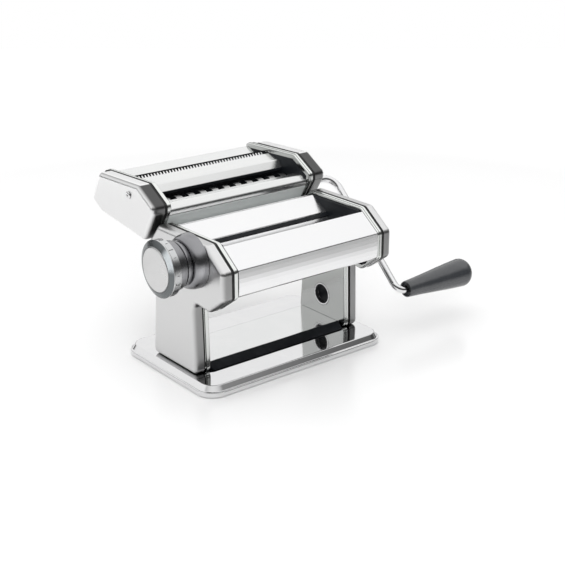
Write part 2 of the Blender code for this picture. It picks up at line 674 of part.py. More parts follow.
def front_roller(root):
    centre = (FRONT_ROLLER_Y, ROLLER_Z)
    carrier = empty("roller_carrier", (0, *centre), root)
    near, far = X_FRAME, X_FRAME + BLOCK_DEPTH
    half_length, half_height = BLOCK_LENGTH / 2, BLOCK_HEIGHT / 2
    outline = [(centre[0] - half_length, centre[1] - half_height),
               (centre[0] + half_length, centre[1] - half_height),
               (centre[0] + half_length, centre[1] + half_height),
               (centre[0] - half_length, centre[1] + half_height)]
    for hand, side in (("left", -1), ("right", 1)):
        ends = sorted((side * near, side * far))
        block = add(f"bearing_block_{hand}", prism(outline, *ends), carrier, (BLACK, 0.4, 0.0))
        bore(block, centre, JOURNAL_RADIUS + FIT, ends[0] - 0.001, ends[1] + 0.001, 24)
        if side < 0:
            follower_arm(block, centre, far)
    axle = empty("front_roller_axis", (0, *centre), carrier)
    gear_end = X_GEAR + ROLLER_GEAR_WIDTH
    profile = [(-far + 0.0008, 0), (-far + 0.0008, JOURNAL_RADIUS), (-X_ROLLER, JOURNAL_RADIUS),
               (-X_ROLLER, ROLLER_RADIUS), (X_ROLLER, ROLLER_RADIUS), (X_ROLLER, JOURNAL_RADIUS),
               (gear_end, JOURNAL_RADIUS), (gear_end, 0)]
    add("front_roller", turned(profile, centre), axle, (SATIN, 0.25, 1.0))
    roller_gear("front_roller_gear", centre, axle, pi / ROLLER_GEAR_TEETH)


def cam_radius(share):
    return CAM_RADIUS + GAP_TRAVEL * share


def follower_arm(block, centre, x):
    """The left block's arm reaches up to the regulator's cam and carries the follower pin."""
    pin_y = KNOB_Y - cam_radius(1.0) - FIT - FOLLOWER_RADIUS
    rear = KNOB_Y - INNER_JOURNAL - GAP_TRAVEL - 2 * FIT
    front = pin_y - FOLLOWER_RADIUS - 0.0015
    low, top = centre[1] - BLOCK_HEIGHT / 2, centre[1] + BLOCK_HEIGHT / 2
    heel = centre[0] + BLOCK_LENGTH / 2
    tip = KNOB_Z + FOLLOWER_RADIUS + 0.0015
    outline = [(front, low), (heel, low), (heel, top), (rear, top), (rear, tip), (front, tip)]
    arm = prism(outline, -x - ARM_THICKNESS, -x + 0.0004)
    boolean(block, tool("follower_arm", arm, block.parent), "UNION")
    pin = cylinder(-x - ARM_THICKNESS - CAM_WIDTH, -x - 0.0005, FOLLOWER_RADIUS, (pin_y, KNOB_Z), 16)
    boolean(block, tool("follower_pin", pin, block.parent), "UNION")


# Thickness regulator
def regulator(root):
    centre = (KNOB_Y, KNOB_Z)
    axis = empty("regulator_axis", (0, *centre), root)
    x_cam = X_FRAME + BLOCK_DEPTH + ARM_THICKNESS + FIT
    end = X_HUB + HUB_LENGTH * 0.5
    profile = [(X_FRAME + FIT, 0), (X_FRAME + FIT, INNER_JOURNAL), (x_cam, INNER_JOURNAL),
               (x_cam, JOURNAL_RADIUS), (end, JOURNAL_RADIUS), (end, 0)]
    add("regulator_shaft", turned(profile, centre, -1, 24), axis, (GREY, 0.35, 1.0))
    outline = cam_outline(centre)
    cam = add("regulator_cam", prism(outline, -x_cam - CAM_WIDTH, -x_cam), axis, (BLACK, 0.4, 0.0))
    bore(cam, centre, JOURNAL_RADIUS + FIT, -x_cam - CAM_WIDTH - 0.001, -x_cam + 0.001, 24)
    boss(root, centre)
    knob(axis, centre)


def cam_outline(centre):
    """A spiral whose radius towards the follower falls evenly as the knob turns."""
    margin = radians(16)
    sweep = radians(KNOB_SWEEP)
    steps = 30
    outline = []
    for k in range(steps + 1):
        angle = -margin + (sweep + 2 * margin) * k / steps
        share = 1.0 - max(0.0, min(1.0, angle / sweep))
        radius = cam_radius(share)
        outline.append((centre[0] - radius * cos(angle), centre[1] + radius * sin(angle)))
    return outline


def boss(root, centre):
    start = X_FACE + FIT
    inner = X_FRAME + BLOCK_DEPTH + ARM_THICKNESS + CAM_WIDTH + 3 * FIT
    recess = start + 0.0030
    profile = [(inner, JOURNAL_RADIUS + FIT), (inner, SPIGOT_RADIUS), (start, SPIGOT_RADIUS),
               (start, BOSS_RADIUS), (start + 0.0012, BOSS_RADIUS)]
    for k in range(1, 6):
        angle = pi / 2 * k / 5
        profile.append((start + 0.0012 + (BOSS_LENGTH - 0.0012) * sin(angle),
                        BOSS_END_RADIUS + (BOSS_RADIUS - BOSS_END_RADIUS) * cos(angle)))
    profile += [(X_BOSS_END, NECK_RADIUS + FIT), (recess, NECK_RADIUS + FIT),
                (recess, JOURNAL_RADIUS + FIT)]
    add("knob_boss", turned(profile, centre, -1, ring=True), root, (GREY, 0.2, 1.0), (0, *centre))


def knob(axis, centre):
    pulled = empty("knob_axis", (0, *centre), axis)
    neck = X_BOSS_END - KNOB_PULL - 0.0030
    spigot = NUMBER_RADIUS - 0.0035
    hole_end = X_HUB + HUB_LENGTH * 0.5 + 0.0005
    hub_end = X_HUB + HUB_LENGTH
    groove = HUB_RADIUS - 0.0025
    collar = HUB_RADIUS - 0.0010
    skirt = HUB_RADIUS + 0.0012
    profile = [(neck, JOURNAL_RADIUS + FIT), (neck, NECK_RADIUS), (X_HUB, NECK_RADIUS), (X_HUB, groove),
               (X_HUB + 0.0030, collar), (X_HUB + 0.0050, collar), (X_HUB + 0.0052, groove),
               (X_HUB + 0.0066, groove), (X_HUB + 0.0070, HUB_RADIUS), (hub_end - 0.0010, skirt),
               (hub_end, skirt), (hub_end, spigot), (X_KNOB - FIT, spigot), (X_KNOB - FIT, 0),
               (hole_end, 0), (hole_end, JOURNAL_RADIUS + FIT)]
    add("knob_hub", turned(profile, centre, -1, ring=True), pulled, (GREY, 0.15, 1.0))
    numbers_end = X_NUMBERS + NUMBER_WIDTH
    profile = [(X_NUMBERS, spigot + FIT), (X_NUMBERS, NUMBER_RADIUS), (numbers_end, NUMBER_RADIUS),
               (numbers_end, spigot + FIT)]
    add("number_ring", turned(profile, centre, -1, ring=True), pulled, (SATIN, 0.3, 1.0))
    hole = CAP_RADIUS + FIT
    profile = [(X_KNOB, hole), (X_KNOB, KNOB_RADIUS), (X_KNOB + 0.0012, KNOB_RADIUS),
               (X_KNOB_FACE - 0.0006, CAP_RADIUS + 0.0011), (X_KNOB_FACE - 0.0006, hole)]
    add("knob_ring", turned(profile, centre, -1, ring=True), pulled, (GREY, 0.35, 1.0))
    profile = [(X_KNOB, 0), (X_KNOB, CAP_RADIUS), (X_KNOB_FACE - 0.0006, CAP_RADIUS),
               (X_KNOB_FACE, CAP_RADIUS - 0.0010), (X_KNOB_FACE, 0)]
    add("knob_cap", turned(profile, centre, -1), pulled, (SATIN, 0.3, 1.0))


# Cutter attachment
def attachment(root):
    frame = empty("attachment", (0, HEAD_REAR_Y, RAIL_TOP), root)
    corners = cutter_corners()
    cover_corners = cutter_corners(CUT_COVER_TOP_REAR)
    wide, fine = WIDE_AXIS, FINE_AXIS
    wide_rear = (wide[0] + WIDE_SPACING, wide[1])
    fine_rear = (fine[0] + FINE_SPACING, fine[1])
    for hand, side in (("left", -1), ("right", 1)):
        plate = add(f"cutter_frame_{hand}", pan(corners, side), frame, (CHROME, 0.10, 1.0))
        skin_bm = shell(cover_corners, side, CUT_COVER_DEPTH)
        add(f"cutter_gasket_{hand}", gasket(corners, side), frame, (BLACK, 0.6, 0.0))
        cover = add(f"cutter_cover_{hand}", skin_bm, frame, (SATIN, 0.32, 1.0))
        wall = (side * (X_FRAME - 0.001), side * (X_FRAME + FRAME_SHEET + 0.001))
        skin = (side * (X_CUT_FACE - COVER_SHEET - 0.001), side * (X_CUT_FACE + 0.001))
        for centre in (wide, wide_rear, fine, fine_rear):
            bore(plate, centre, JOURNAL_RADIUS + FIT, *wall, 24)
        bore(plate, hung(CUT_SCREW), SCREW_SHANK + FIT, *wall, 16)
        bore(cover, hung(CUT_SCREW), SCREW_SHANK + FIT, *skin, 16)
        if side > 0:
            bore(cover, wide, SOCKET_RADIUS + FIT, *skin)
            bore(cover, fine, SOCKET_RADIUS + FIT, *skin)
        screw(frame, hand, side)
    sheets(frame)
    for name, centre, shift in (("front", wide, 0), ("rear", wide_rear, 1)):
        ribbons = wide_profile(shift, WIDE_DISCS)
        cutter_roller(f"wide_cutter_{name}", centre, frame, shift, ribbons, shift == 0, WIDE_SPACING)
    plain = [(-CUTTER_LENGTH / 2, FINE_DISC), (CUTTER_LENGTH / 2, FINE_DISC)]
    for name, centre, shift in (("front", fine, 0), ("rear", fine_rear, 1)):
        cutter_roller(f"fine_cutter_{name}", centre, frame, shift, plain, shift == 0, FINE_SPACING)
    return frame


def screw(frame, hand, side):
    face = X_CUT_FACE + FIT
    start = X_FRAME + FIT
    profile = [(start, 0), (start, SCREW_SHANK), (face, SCREW_SHANK), (face, SCREW_HEAD),
               (face + 0.0006, SCREW_HEAD), (face + 0.0012, SCREW_HEAD * 0.6), (face + 0.0012, 0)]
    centre = hung(CUT_SCREW)
    look = (CHROME, 0.2, 1.0)
    add(f"cutter_screw_{hand}", turned(profile, centre, side, 20), frame, look, (0, *centre))


def sheets(frame):
    look = (CHROME, 0.12, 1.0)
    for name, path in (("rear", REAR_SHEET), ("middle", MIDDLE_SHEET), ("front", FRONT_SHEET),
                       ("lower", LOWER_SHEET)):
        places = [hung(point) for point in path]
        outline = ribbon(places[::-1] if name == "rear" else places, SHEET)
        add(f"cutter_sheet_{name}", prism(outline, -SHEET_HALF, SHEET_HALF), frame, look)
    tongue = RAIL_WALL_Y + RAIL_STANDOFF
    front, rear = tongue - FIT - HANGER_WALL, tongue + RAIL_TONGUE + FIT + HANGER_WALL
    top, low = RAIL_TOP + FIT, RAIL_TOP - HANGER_DROP
    near, far = front + HANGER_WALL, rear - HANGER_WALL
    outline = [(front, low), (near, low), (near, top), (far, top), (far, low), (rear, low),
               (rear, top + HANGER_WALL), (front, top + HANGER_WALL)]
    add("cutter_hanger", prism(outline, -SHEET_HALF, SHEET_HALF), frame, (SATIN, 0.35, 1.0))
    for name, offset in (("upper", CUT_TIE_UPPER), ("lower", CUT_TIE_LOWER)):
        centre = hung(offset)
        rod = cylinder(-SHEET_HALF, SHEET_HALF, CUT_TIE_RADIUS, centre, 16)
        add(f"cutter_tie_{name}", rod, frame, (CHROME, 0.2, 1.0), (0, *centre))


def wide_profile(shift, discs):
    """Discs and grooves of a ribbon cutter; the mate's discs sit in this one's grooves."""
    half = WIDE_PITCH / 4 - FIT / 2
    profile = []
    count = discs + shift
    for k in range(count):
        middle = (k - (count - 1) / 2) * WIDE_PITCH
        profile += [(middle - half, WIDE_CORE), (middle - half, WIDE_DISC), (middle + half, WIDE_DISC),
                    (middle + half, WIDE_CORE)]
    return profile


def cutter_roller(name, centre, frame, shift, middle, driven, spacing):
    axle = empty(name + "_axis", (0, *centre), frame)
    start = X_COVER + 0.0010
    gear_end = start + CUT_GEAR_WIDTH
    near = -X_FRAME - FRAME_SHEET - 0.0015
    half = max(abs(middle[0][0]), CUTTER_LENGTH / 2)
    profile = [(near, 0), (near, JOURNAL_RADIUS), (-half, JOURNAL_RADIUS)]
    profile += [(-half, middle[0][1])] if half > abs(middle[0][0]) else []
    profile += middle
    profile += [(half, middle[-1][1])] if half > abs(middle[-1][0]) else []
    profile += [(half, JOURNAL_RADIUS)]
    if driven:
        flare = gear_end + 0.0008
        profile += [(flare, JOURNAL_RADIUS), (flare, SOCKET_RADIUS), (X_CUT_FACE + FIT, SOCKET_RADIUS),
                    (X_CUT_FACE + FIT, 0)]
    else:
        profile += [(gear_end + 0.0008, JOURNAL_RADIUS), (gear_end + 0.0008, 0)]
    roller = add(name, turned(profile, centre, 1, CUTTER_STEPS), axle, (SATIN, 0.3, 1.0))
    tip, root_radius = spacing * 0.5 + 0.0009, spacing * 0.5 - 0.0014
    wheel = gear(centre, tip, root_radius, CUT_GEAR_TEETH, start, gear_end, shift * pi / CUT_GEAR_TEETH)
    boolean(roller, tool(name + "_gear", wheel, axle), "UNION")
    if driven:
        hollow = prism(hexagon(centre, HEX_ACROSS + 2 * FIT), gear_end + 0.0020, X_CUT_FACE + 0.001)
        boolean(roller, tool(name + "_socket", hollow, axle), "DIFFERENCE")
    return axle


# Crank
def crank(parent):
    centre = WIDE_AXIS
    pulled = empty("crank_axis", (0, *centre), parent)
    lean = radians(CRANK_ANGLE)
    down = Vector((0, -sin(lean), -cos(lean)))
    hinge = Vector((0, *centre)) + down * CRANK_REACH
    across = Vector((1, 0, 0))
    flat = across.cross(down)
    start = X_COVER + CUT_GEAR_WIDTH + 0.0045
    end = X_ARM + HANDLE_START + HANDLE_LENGTH - HANDLE_WALL_END
    hex_end = X_CUT_FACE + 0.0020
    axis = Vector((0, *centre))
    stations = [(axis + across * start, 0.0, 1), (axis + across * (hex_end - 0.001), 0.0, 1),
                (axis + across * hex_end, 0.0, 0)]
    bends = 6
    first = axis + across * (X_ARM - TOP_BEND) + down * TOP_BEND
    second = hinge + across * (X_ARM + LOW_BEND) - down * LOW_BEND
    for k in range(bends + 1):
        angle = pi / 2 * k / bends
        stations.append((first + (across * sin(angle) - down * cos(angle)) * TOP_BEND, angle, 0))
    for k in range(bends + 1):
        angle = pi / 2 * (1 - k / bends)
        stations.append((second - (across * sin(angle) - down * cos(angle)) * LOW_BEND, angle, 0))
    stations.append((hinge + across * end, 0.0, 0))
    loops = []
    for middle, angle, hexed in stations:
        side = down * cos(angle) - across * sin(angle)
        loop = []
        for k in range(12):
            radius = ROD_RADIUS
            if hexed:
                radius = HEX_ACROSS / sqrt(3) if k % 2 == 0 else HEX_ACROSS / 2
            turn = 2 * pi * k / 12
            loop.append(middle + (side * cos(turn) + flat * sin(turn)) * radius)
        loops.append(loop)
    add("crank_rod", loft(loops), pulled, (CHROME, 0.08, 1.0))
    handle(pulled, hinge)


def handle(parent, hinge):
    centre = (hinge.y, hinge.z)
    axle = empty("handle_axis", (0, *centre), parent)
    start = X_ARM + HANDLE_START
    end = start + HANDLE_LENGTH
    hole = ROD_RADIUS + FIT
    hole_end = end - HANDLE_WALL_END + 0.001
    profile = [(start, hole), (start, HANDLE_NECK - 0.0008), (start + 0.0008, HANDLE_NECK)]
    steps = 7
    for k in range(1, steps + 1):
        share = k / steps
        swell = HANDLE_NECK + (HANDLE_END - HANDLE_NECK) * (1 - cos(pi * share)) / 2
        profile.append((start + 0.0008 + (HANDLE_LENGTH - HANDLE_DOME - 0.0038) * share, swell))
    cap = end - HANDLE_DOME
    for k in range(6):
        angle = pi / 2 * k / 5
        profile.append((cap + HANDLE_DOME * sin(angle), HANDLE_END * cos(angle) if k < 5 else 0))
    profile += [(hole_end, 0), (hole_end, hole)]
    add("crank_handle", turned(profile, centre, 1, 20, ring=True), axle, (GREY, 0.45, 0.0))


def place_root(root):
    """Moves the machine so that the world origin is the middle of its footprint on the table."""
    bpy.context.view_layer.update()
    corners = []
    for item in bpy.data.objects:
        if item.type == "MESH" and not item.hide_render:
            corners += [item.matrix_world @ Vector(corner) for corner in item.bound_box]
    for axis in (0, 1):
        values = [corner[axis] for corner in corners]
        root.location[axis] = -(min(values) + max(values)) / 2


def build():
    clear_scene()
    root = empty("pasta_machine")
    base(root)
    tray(root)
    sides(root)
    cheeks(root)
    head_covers(root)
    inside_head(root)
    rear_roller(root)
    front_roller(root)
    regulator(root)
    attachment(root)
    crank(bpy.data.objects["wide_cutter_front_axis"])
    place_root(root)


build()
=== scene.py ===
"""Looks of a hand-cranked pasta machine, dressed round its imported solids.

Places are in metres from the middle of the base plate, +X to the crank, +Y to the rear and
+Z up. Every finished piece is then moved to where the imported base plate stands.
"""

from math import acos, cos, pi, radians, sin, sqrt, tan

import bmesh
import bpy
from mathutils import Matrix, Vector


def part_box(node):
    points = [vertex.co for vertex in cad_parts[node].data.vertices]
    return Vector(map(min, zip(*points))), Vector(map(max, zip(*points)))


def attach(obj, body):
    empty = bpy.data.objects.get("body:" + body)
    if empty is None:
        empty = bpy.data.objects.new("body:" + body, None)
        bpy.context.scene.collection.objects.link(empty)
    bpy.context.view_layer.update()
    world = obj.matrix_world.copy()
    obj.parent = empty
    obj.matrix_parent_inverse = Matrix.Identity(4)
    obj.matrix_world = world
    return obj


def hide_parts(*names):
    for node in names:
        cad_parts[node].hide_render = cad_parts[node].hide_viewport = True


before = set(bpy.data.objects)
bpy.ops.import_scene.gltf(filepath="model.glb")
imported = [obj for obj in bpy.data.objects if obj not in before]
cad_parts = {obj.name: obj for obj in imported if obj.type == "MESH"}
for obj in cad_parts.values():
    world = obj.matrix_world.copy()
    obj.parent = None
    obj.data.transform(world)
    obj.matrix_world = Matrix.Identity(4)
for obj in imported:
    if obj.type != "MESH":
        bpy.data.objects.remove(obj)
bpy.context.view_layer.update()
plate_low, plate_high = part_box("base_plate")
MIDDLE = Vector(((plate_low.x + plate_high.x) / 2, (plate_low.y + plate_high.y) / 2, 0))
SIDES = {"left": -1, "right": 1}

# Clearance, sheet thicknesses and places along X
FIT = 0.0003
X_FRAME = 0.0760
X_RIM = 0.0802
X_COVER = 0.0822
X_FACE = 0.0922
X_CUT_FACE = 0.0952
X_ROLLER = 0.0734
SHEET_HALF = 0.0757
FRAME_SHEET = 0.0015
COVER_SHEET = 0.0012
SHEET = 0.0010
DARK_GAP = 0.0008

# Spans along X that a hole has to cross: a frame's wall, a head cover and a cutter cover
WALL = (X_FRAME - 0.002, X_RIM - 0.0005)
SKIN = (X_FACE - 0.004, X_FACE + 0.002)
CUT_SKIN = (X_CUT_FACE - 0.004, X_CUT_FACE + 0.002)

# Base plate, feet and tray
PLATE_HALF = (0.0960, 0.0620)
PLATE_TOP = 0.0100
PLATE_CORNER = 0.012
PLATE_SHEET = 0.0012
RIM_SLOPE_OUT = 0.0031
RIM_OUT = 0.0045
RIM_LEDGE_Z = 0.0052
RIM_BOTTOM_Z = 0.0010
FOOT_PLACE = (0.080, 0.046)
TRAY_FRONT_Y = -0.0270
TRAY_REAR_Y = 0.0265
TRAY_TOP = 0.0140
TRAY_SHEET = 0.0012
STRIP_DEPTH = 0.0095
STRIP_HEIGHT = 0.0048

# Head outline: (y, z), anticlockwise seen from the crank side
TOP_REAR = (0.0160, 0.1318)
TOP_FRONT = (-0.0540, 0.1318)
NOSE_TOP = (-0.0780, 0.1140)
NOSE_LOW = (-0.0780, 0.0900)
CHIN = (-0.0560, 0.0740)
FRONT_CROTCH = (-0.0345, 0.0765)
FOOT_FRONT = (-0.0365, 0.0103)
FOOT_REAR = (0.0295, 0.0103)
REAR_CROTCH = (0.0235, 0.0800)
REAR_LOW = (0.0360, 0.0920)
REAR_TOP = (0.0360, 0.1080)
HEAD = (TOP_REAR, TOP_FRONT, NOSE_TOP, NOSE_LOW, CHIN, FRONT_CROTCH, FOOT_FRONT, FOOT_REAR,
        REAR_CROTCH, REAR_LOW, REAR_TOP)
CROTCHES = (FRONT_CROTCH, REAR_CROTCH)
SETBACK = 0.0008
CORNER = 0.0050
CROTCH_CORNER = 0.0060
LEAST_CORNER = 0.0006

# Dough rollers, dial and clamp hole
ROLLER_RADIUS = 0.0160
REAR_ROLLER = (-0.0020, 0.1030)
FRONT_ROLLER = (-0.0370, 0.1030)
JOURNAL = 0.0040
SOCKET = 0.0065
HEX_ACROSS = 0.0068
DIAL = (-0.0370, 0.1150)
CLAMP = (-0.0032, 0.0344)
CLAMP_RADIUS = 0.0095
CLAMP_HOLE = CLAMP_RADIUS + 0.0015

# Cutter attachment: its outline, cover corner and screw are given from the wide cutter's axis
WIDE = (0.0385, 0.1312)
FINE = (0.0820, 0.1390)
WIDE_SPACING = 0.0150
FINE_SPACING = 0.0128
WIDE_DISC = 0.0090
WIDE_CORE = 0.0054
WIDE_DISCS = 11
FINE_DISC = 0.0062
FINE_CORE = 0.0054
FINE_GROOVES = 75
CUTTER_LENGTH = 0.1500
GEAR_TEETH = 10
CUTTER_OUTLINE = ((0.0755, 0.0273), (0.0015, 0.0300), (-0.0225, 0.0158), (-0.0220, 0.0093),
                  (-0.0055, -0.0177), (0.0655, -0.0087), (0.0810, 0.0008))
COVER_TOP_REAR = (0.0665, 0.0278)
SCREW = (0.0155, 0.0188)
COMB = (0.0838, 0.1525)
COMB_TEETH = 46
COMB_TOOTH = ((0.0, 0.0), (0.14, 0.0018), (0.38, 0.0018), (0.52, 0.0))

# Crank
CRANK_REACH = 0.1310
CRANK_ANGLE = 46.4
ROD_RADIUS = 0.0035
TOP_BEND = 0.0140
LOW_BEND = 0.0090
BEND_STEPS = 14
X_ARM = 0.1245
HANDLE_START = 0.1340
HANDLE_LENGTH = 0.0835

# Shading, and the camera's place
FLAT_FACES = "flat faces"
SHARP_ANGLE = 34
CAMERA = (-0.5928, -0.7796, 0.4349)
FLOAT, VECTOR, COLOUR = "NodeSocketFloat", "NodeSocketVector", "NodeSocketColor"


# Outlines
def offset_corner(before, corner, after, inset):
    """The corner after both its sides move left by an inset."""
    first = (Vector(corner) - Vector(before)).normalized()
    second = (Vector(after) - Vector(corner)).normalized()
    normal = Vector((-first.y - second.y, first.x + second.x)).normalized()
    return Vector(corner) + normal * (inset / normal.dot(Vector((-first.y, first.x))))


def housing(points, inset, crotches=()):
    """A housing's outline as (y, z, radius), moved inwards by an inset."""
    corners = []
    for i, point in enumerate(points):
        y, z = offset_corner(points[i - 1], point, points[(i + 1) % len(points)], inset)
        bend = CROTCH_CORNER + inset if point in crotches else max(CORNER - inset, LEAST_CORNER)
        corners.append((y, z, bend))
    return corners


def bent(path, thickness, radius):
    """The closed outline of a sheet bent along a side path, as (y, z, radius)."""
    near, far = [], []
    last = len(path) - 1
    for i, point in enumerate(path):
        before = path[i - 1] if i else tuple(2 * p - q for p, q in zip(point, path[1]))
        after = path[i + 1] if i < last else tuple(2 * p - q for p, q in zip(point, path[i - 1]))
        turning = (Vector(point) - Vector(before)).cross(Vector(after) - Vector(point))
        outer, inner = radius + thickness, radius
        if i in (0, last):
            outer = inner = thickness * 0.3
        elif turning < 0:
            outer, inner = inner, outer
        near.append((*point, outer))
        far.append((*offset_corner(before, point, after, thickness), inner))
    return near + far[::-1]


def rectangle(y0, z0, y1, z1):
    return [(y0, z0, 0), (y1, z0, 0), (y1, z1, 0), (y0, z1, 0)]


def from_wide(points):
    """Places given from the wide cutter's axis, as places on the machine."""
    return [(WIDE[0] + y, WIDE[1] + z) for y, z in points]


def head_outline(inset=0.0):
    return housing(HEAD, inset, CROTCHES)


def cutter_outline(inset=0.0, top_rear=CUTTER_OUTLINE[0]):
    return housing(from_wide((top_rear, *CUTTER_OUTLINE[1:])), inset)


# Meshes from a few vertices
def moved_verts(geom):
    return [item for item in geom if isinstance(item, bmesh.types.BMVert)]


def round_off(bm, geom, offset, segments, affect="EDGES"):
    bmesh.ops.bevel(bm, geom=geom, offset=offset, offset_type="OFFSET", segments=segments,
                    profile=0.5, affect=affect, material=-1)


def round_corners(bm, verts, radii, segments):
    """Rounds the corners of one flat face, each to its own radius."""
    cuts = []
    for i, vert in enumerate(verts):
        back = (verts[i - 1].co - vert.co).normalized()
        ahead = (verts[(i + 1) % len(verts)].co - vert.co).normalized()
        half = acos(max(-1.0, min(1.0, back.dot(ahead)))) / 2
        if radii[i] > 0:
            cuts.append((vert, radii[i] / tan(half)))
    for vert, reach in cuts:
        round_off(bm, [vert], reach, segments, "VERTICES")


def side_face(corners, x, segments=6):
    bm = bmesh.new()
    verts = [bm.verts.new((x, y, z)) for y, z, _ in corners]
    bm.faces.new(verts)
    round_corners(bm, verts, [radius for _, _, radius in corners], segments)
    return bm


def draw_out(bm, faces, vec):
    """Extrudes faces by a vector and gives the new end faces."""
    geom = bmesh.ops.extrude_face_region(bm, geom=faces)["geom"]
    bmesh.ops.translate(bm, verts=moved_verts(geom), vec=vec)
    return [item for item in geom if isinstance(item, bmesh.types.BMFace)]


def draw_on(bm, faces, vec):
    """Draws faces out as the new end of a bar or shell, with nothing left at the old one."""
    end = draw_out(bm, faces, vec)
    bmesh.ops.delete(bm, geom=[face for face in faces if face.is_valid], context="FACES_ONLY")
    return end


def swing(bm, end, centre, axis):
    """Carries a bar on round a quarter bend."""
    for _ in range(BEND_STEPS):
        end = draw_on(bm, end, (0, 0, 0))
        bmesh.ops.rotate(bm, verts=end[0].verts[:], cent=centre,
                         matrix=Matrix.Rotation(pi / 2 / BEND_STEPS, 3, axis))
    return end


def solid(bm, x0, x1):
    draw_out(bm, bm.faces[:], (x1 - x0, 0, 0))
    return bm


def drawn(corners, x0, x1):
    """A side outline drawn out along X into a solid."""
    return solid(side_face(corners, x0), x0, x1)


def sheet(path, bend, half=SHEET_HALF, thickness=SHEET):
    """A sheet bent along a side path and drawn out to a half width on both sides."""
    return drawn(bent(path, thickness, bend), -half, half)


def cup(corners, x0, x1, edge, segments):
    """A shell that is open at x0 and closed at x1, with a rounded edge round its closed end."""
    bm = side_face(corners, x0, 8)
    end = draw_on(bm, bm.faces[:], (x1 - x0, 0, 0))
    round_off(bm, end[0].edges[:], edge, segments)
    return bm


def pan(outline, lining=False):
    """A pressed frame: its wall faces the rollers and its rim steps and turns outwards."""
    step_height, step_width, step_slant, edge, lining_margin = 0.00215, 0.0004, 0.0002, 0.0010, 0.0030
    bm = side_face(outline, X_RIM, 8)
    end = draw_on(bm, bm.faces[:], (step_height - (X_RIM - X_FRAME), 0, 0))
    bmesh.ops.inset_region(bm, faces=end, thickness=step_width, depth=step_slant, use_even_offset=True)
    end = draw_on(bm, end, (X_FRAME - end[0].verts[0].co.x, 0, 0))
    round_off(bm, end[0].edges[:], edge, 4)
    if lining:
        wall = max(bm.faces, key=lambda face: face.calc_area())
        bmesh.ops.inset_region(bm, faces=[wall], thickness=lining_margin, use_even_offset=True)
        wall.material_index = 1
    return bm


def lathe(profile, centre, side=1, steps=96, ring=False):
    """A profile of (distance along X, radius) spun round an X axis through (y, z)."""
    bm = bmesh.new()
    verts = [bm.verts.new((side * x, centre[0], centre[1] + radius)) for x, radius in profile]
    edges = [bm.edges.new(pair) for pair in zip(verts, verts[1:])]
    if ring:
        edges.append(bm.edges.new((verts[-1], verts[0])))
    bmesh.ops.spin(bm, geom=verts + edges, cent=(0, *centre), axis=(1, 0, 0), dvec=(0, 0, 0),
                   angle=2 * pi, steps=steps, use_merge=True, use_duplicate=False)
    bmesh.ops.remove_doubles(bm, verts=bm.verts, dist=2e-6)
    return bm


def quarter(x, radius, along, out):
    """A quarter of an oval in a lathe profile, from its side round to its end."""
    angles = [pi / 2 * k / 12 for k in range(1, 13)]
    return [(x + along * sin(angle), radius + out * cos(angle)) for angle in angles]


def turn(bm, angle, axis):
    bmesh.ops.rotate(bm, verts=bm.verts, cent=(0, 0, 0), matrix=Matrix.Rotation(angle, 3, axis))


def move(bm, vec):
    bmesh.ops.translate(bm, verts=bm.verts, vec=vec)


def face_along_x(bm, x, centre, phase=0.0):
    """Turns a flat round face to look along X and moves it to a place (y, z)."""
    turn(bm, phase, "Z")
    turn(bm, pi / 2, "Y")
    move(bm, (x, *centre))


def disc(centre, radius, x0, x1, sides, phase=0.0, root=None):
    """A round or many-sided bar along X; a root radius makes each four of its sides a tooth."""
    bm = bmesh.new()
    ring = bmesh.ops.create_circle(bm, cap_ends=True, radius=radius, segments=sides)["verts"]
    if root:
        for vert in ring[2::4] + ring[3::4]:
            vert.co *= root / radius
    face_along_x(bm, x0, centre, phase)
    return solid(bm, x0, x1)


def hexagon(centre, x0, x1, clearance=FIT):
    """The crank's hexagon, or the socket for it with a clearance all round."""
    return disc(centre, (HEX_ACROSS + 2 * clearance) / sqrt(3), x0, x1, 6, radians(CRANK_ANGLE - 90))


def mirrored(bm, side):
    if side < 0:
        bmesh.ops.scale(bm, verts=bm.verts, vec=(-1, 1, 1))
        bmesh.ops.reverse_faces(bm, faces=bm.faces)
    return bm


def block(side, corners, low, high):
    """A solid on one side of the machine, between two distances from its middle."""
    return drawn(corners, *sorted((side * low, side * high)))


def holes(side, span, *places):
    """Round tools across a span on one side, each an axis (y, z) and a radius."""
    low, high = sorted((side * span[0], side * span[1]))
    return [disc(axis, radius, low, high, 48) for axis, radius in places]


# Objects
def set_up(item, **settings):
    """Gives a new modifier, node, lamp or the like its settings."""
    for key, value in settings.items():
        setattr(item, key, value)
    return item


def modify(item, name, kind, **settings):
    set_up(item.modifiers.new(name, kind), **settings)


def in_scene(name, data):
    item = bpy.data.objects.new(name, data)
    bpy.context.scene.collection.objects.link(item)
    return item


def as_object(name, bm):
    mesh = bpy.data.meshes.new(name)
    bm.to_mesh(mesh)
    bm.free()
    return in_scene(name, mesh)


def finished_mesh(item):
    graph = bpy.context.evaluated_depsgraph_get()
    return bpy.data.meshes.new_from_object(item.evaluated_get(graph))


def shade(item):
    """Shades curves smooth, and lets flat faces shade flat beside their rounded edges."""
    item.data.shade_smooth()
    item.data.set_sharp_from_angle(angle=radians(SHARP_ANGLE))
    modify(item, FLAT_FACES, "WEIGHTED_NORMAL", weight=80, keep_sharp=True)


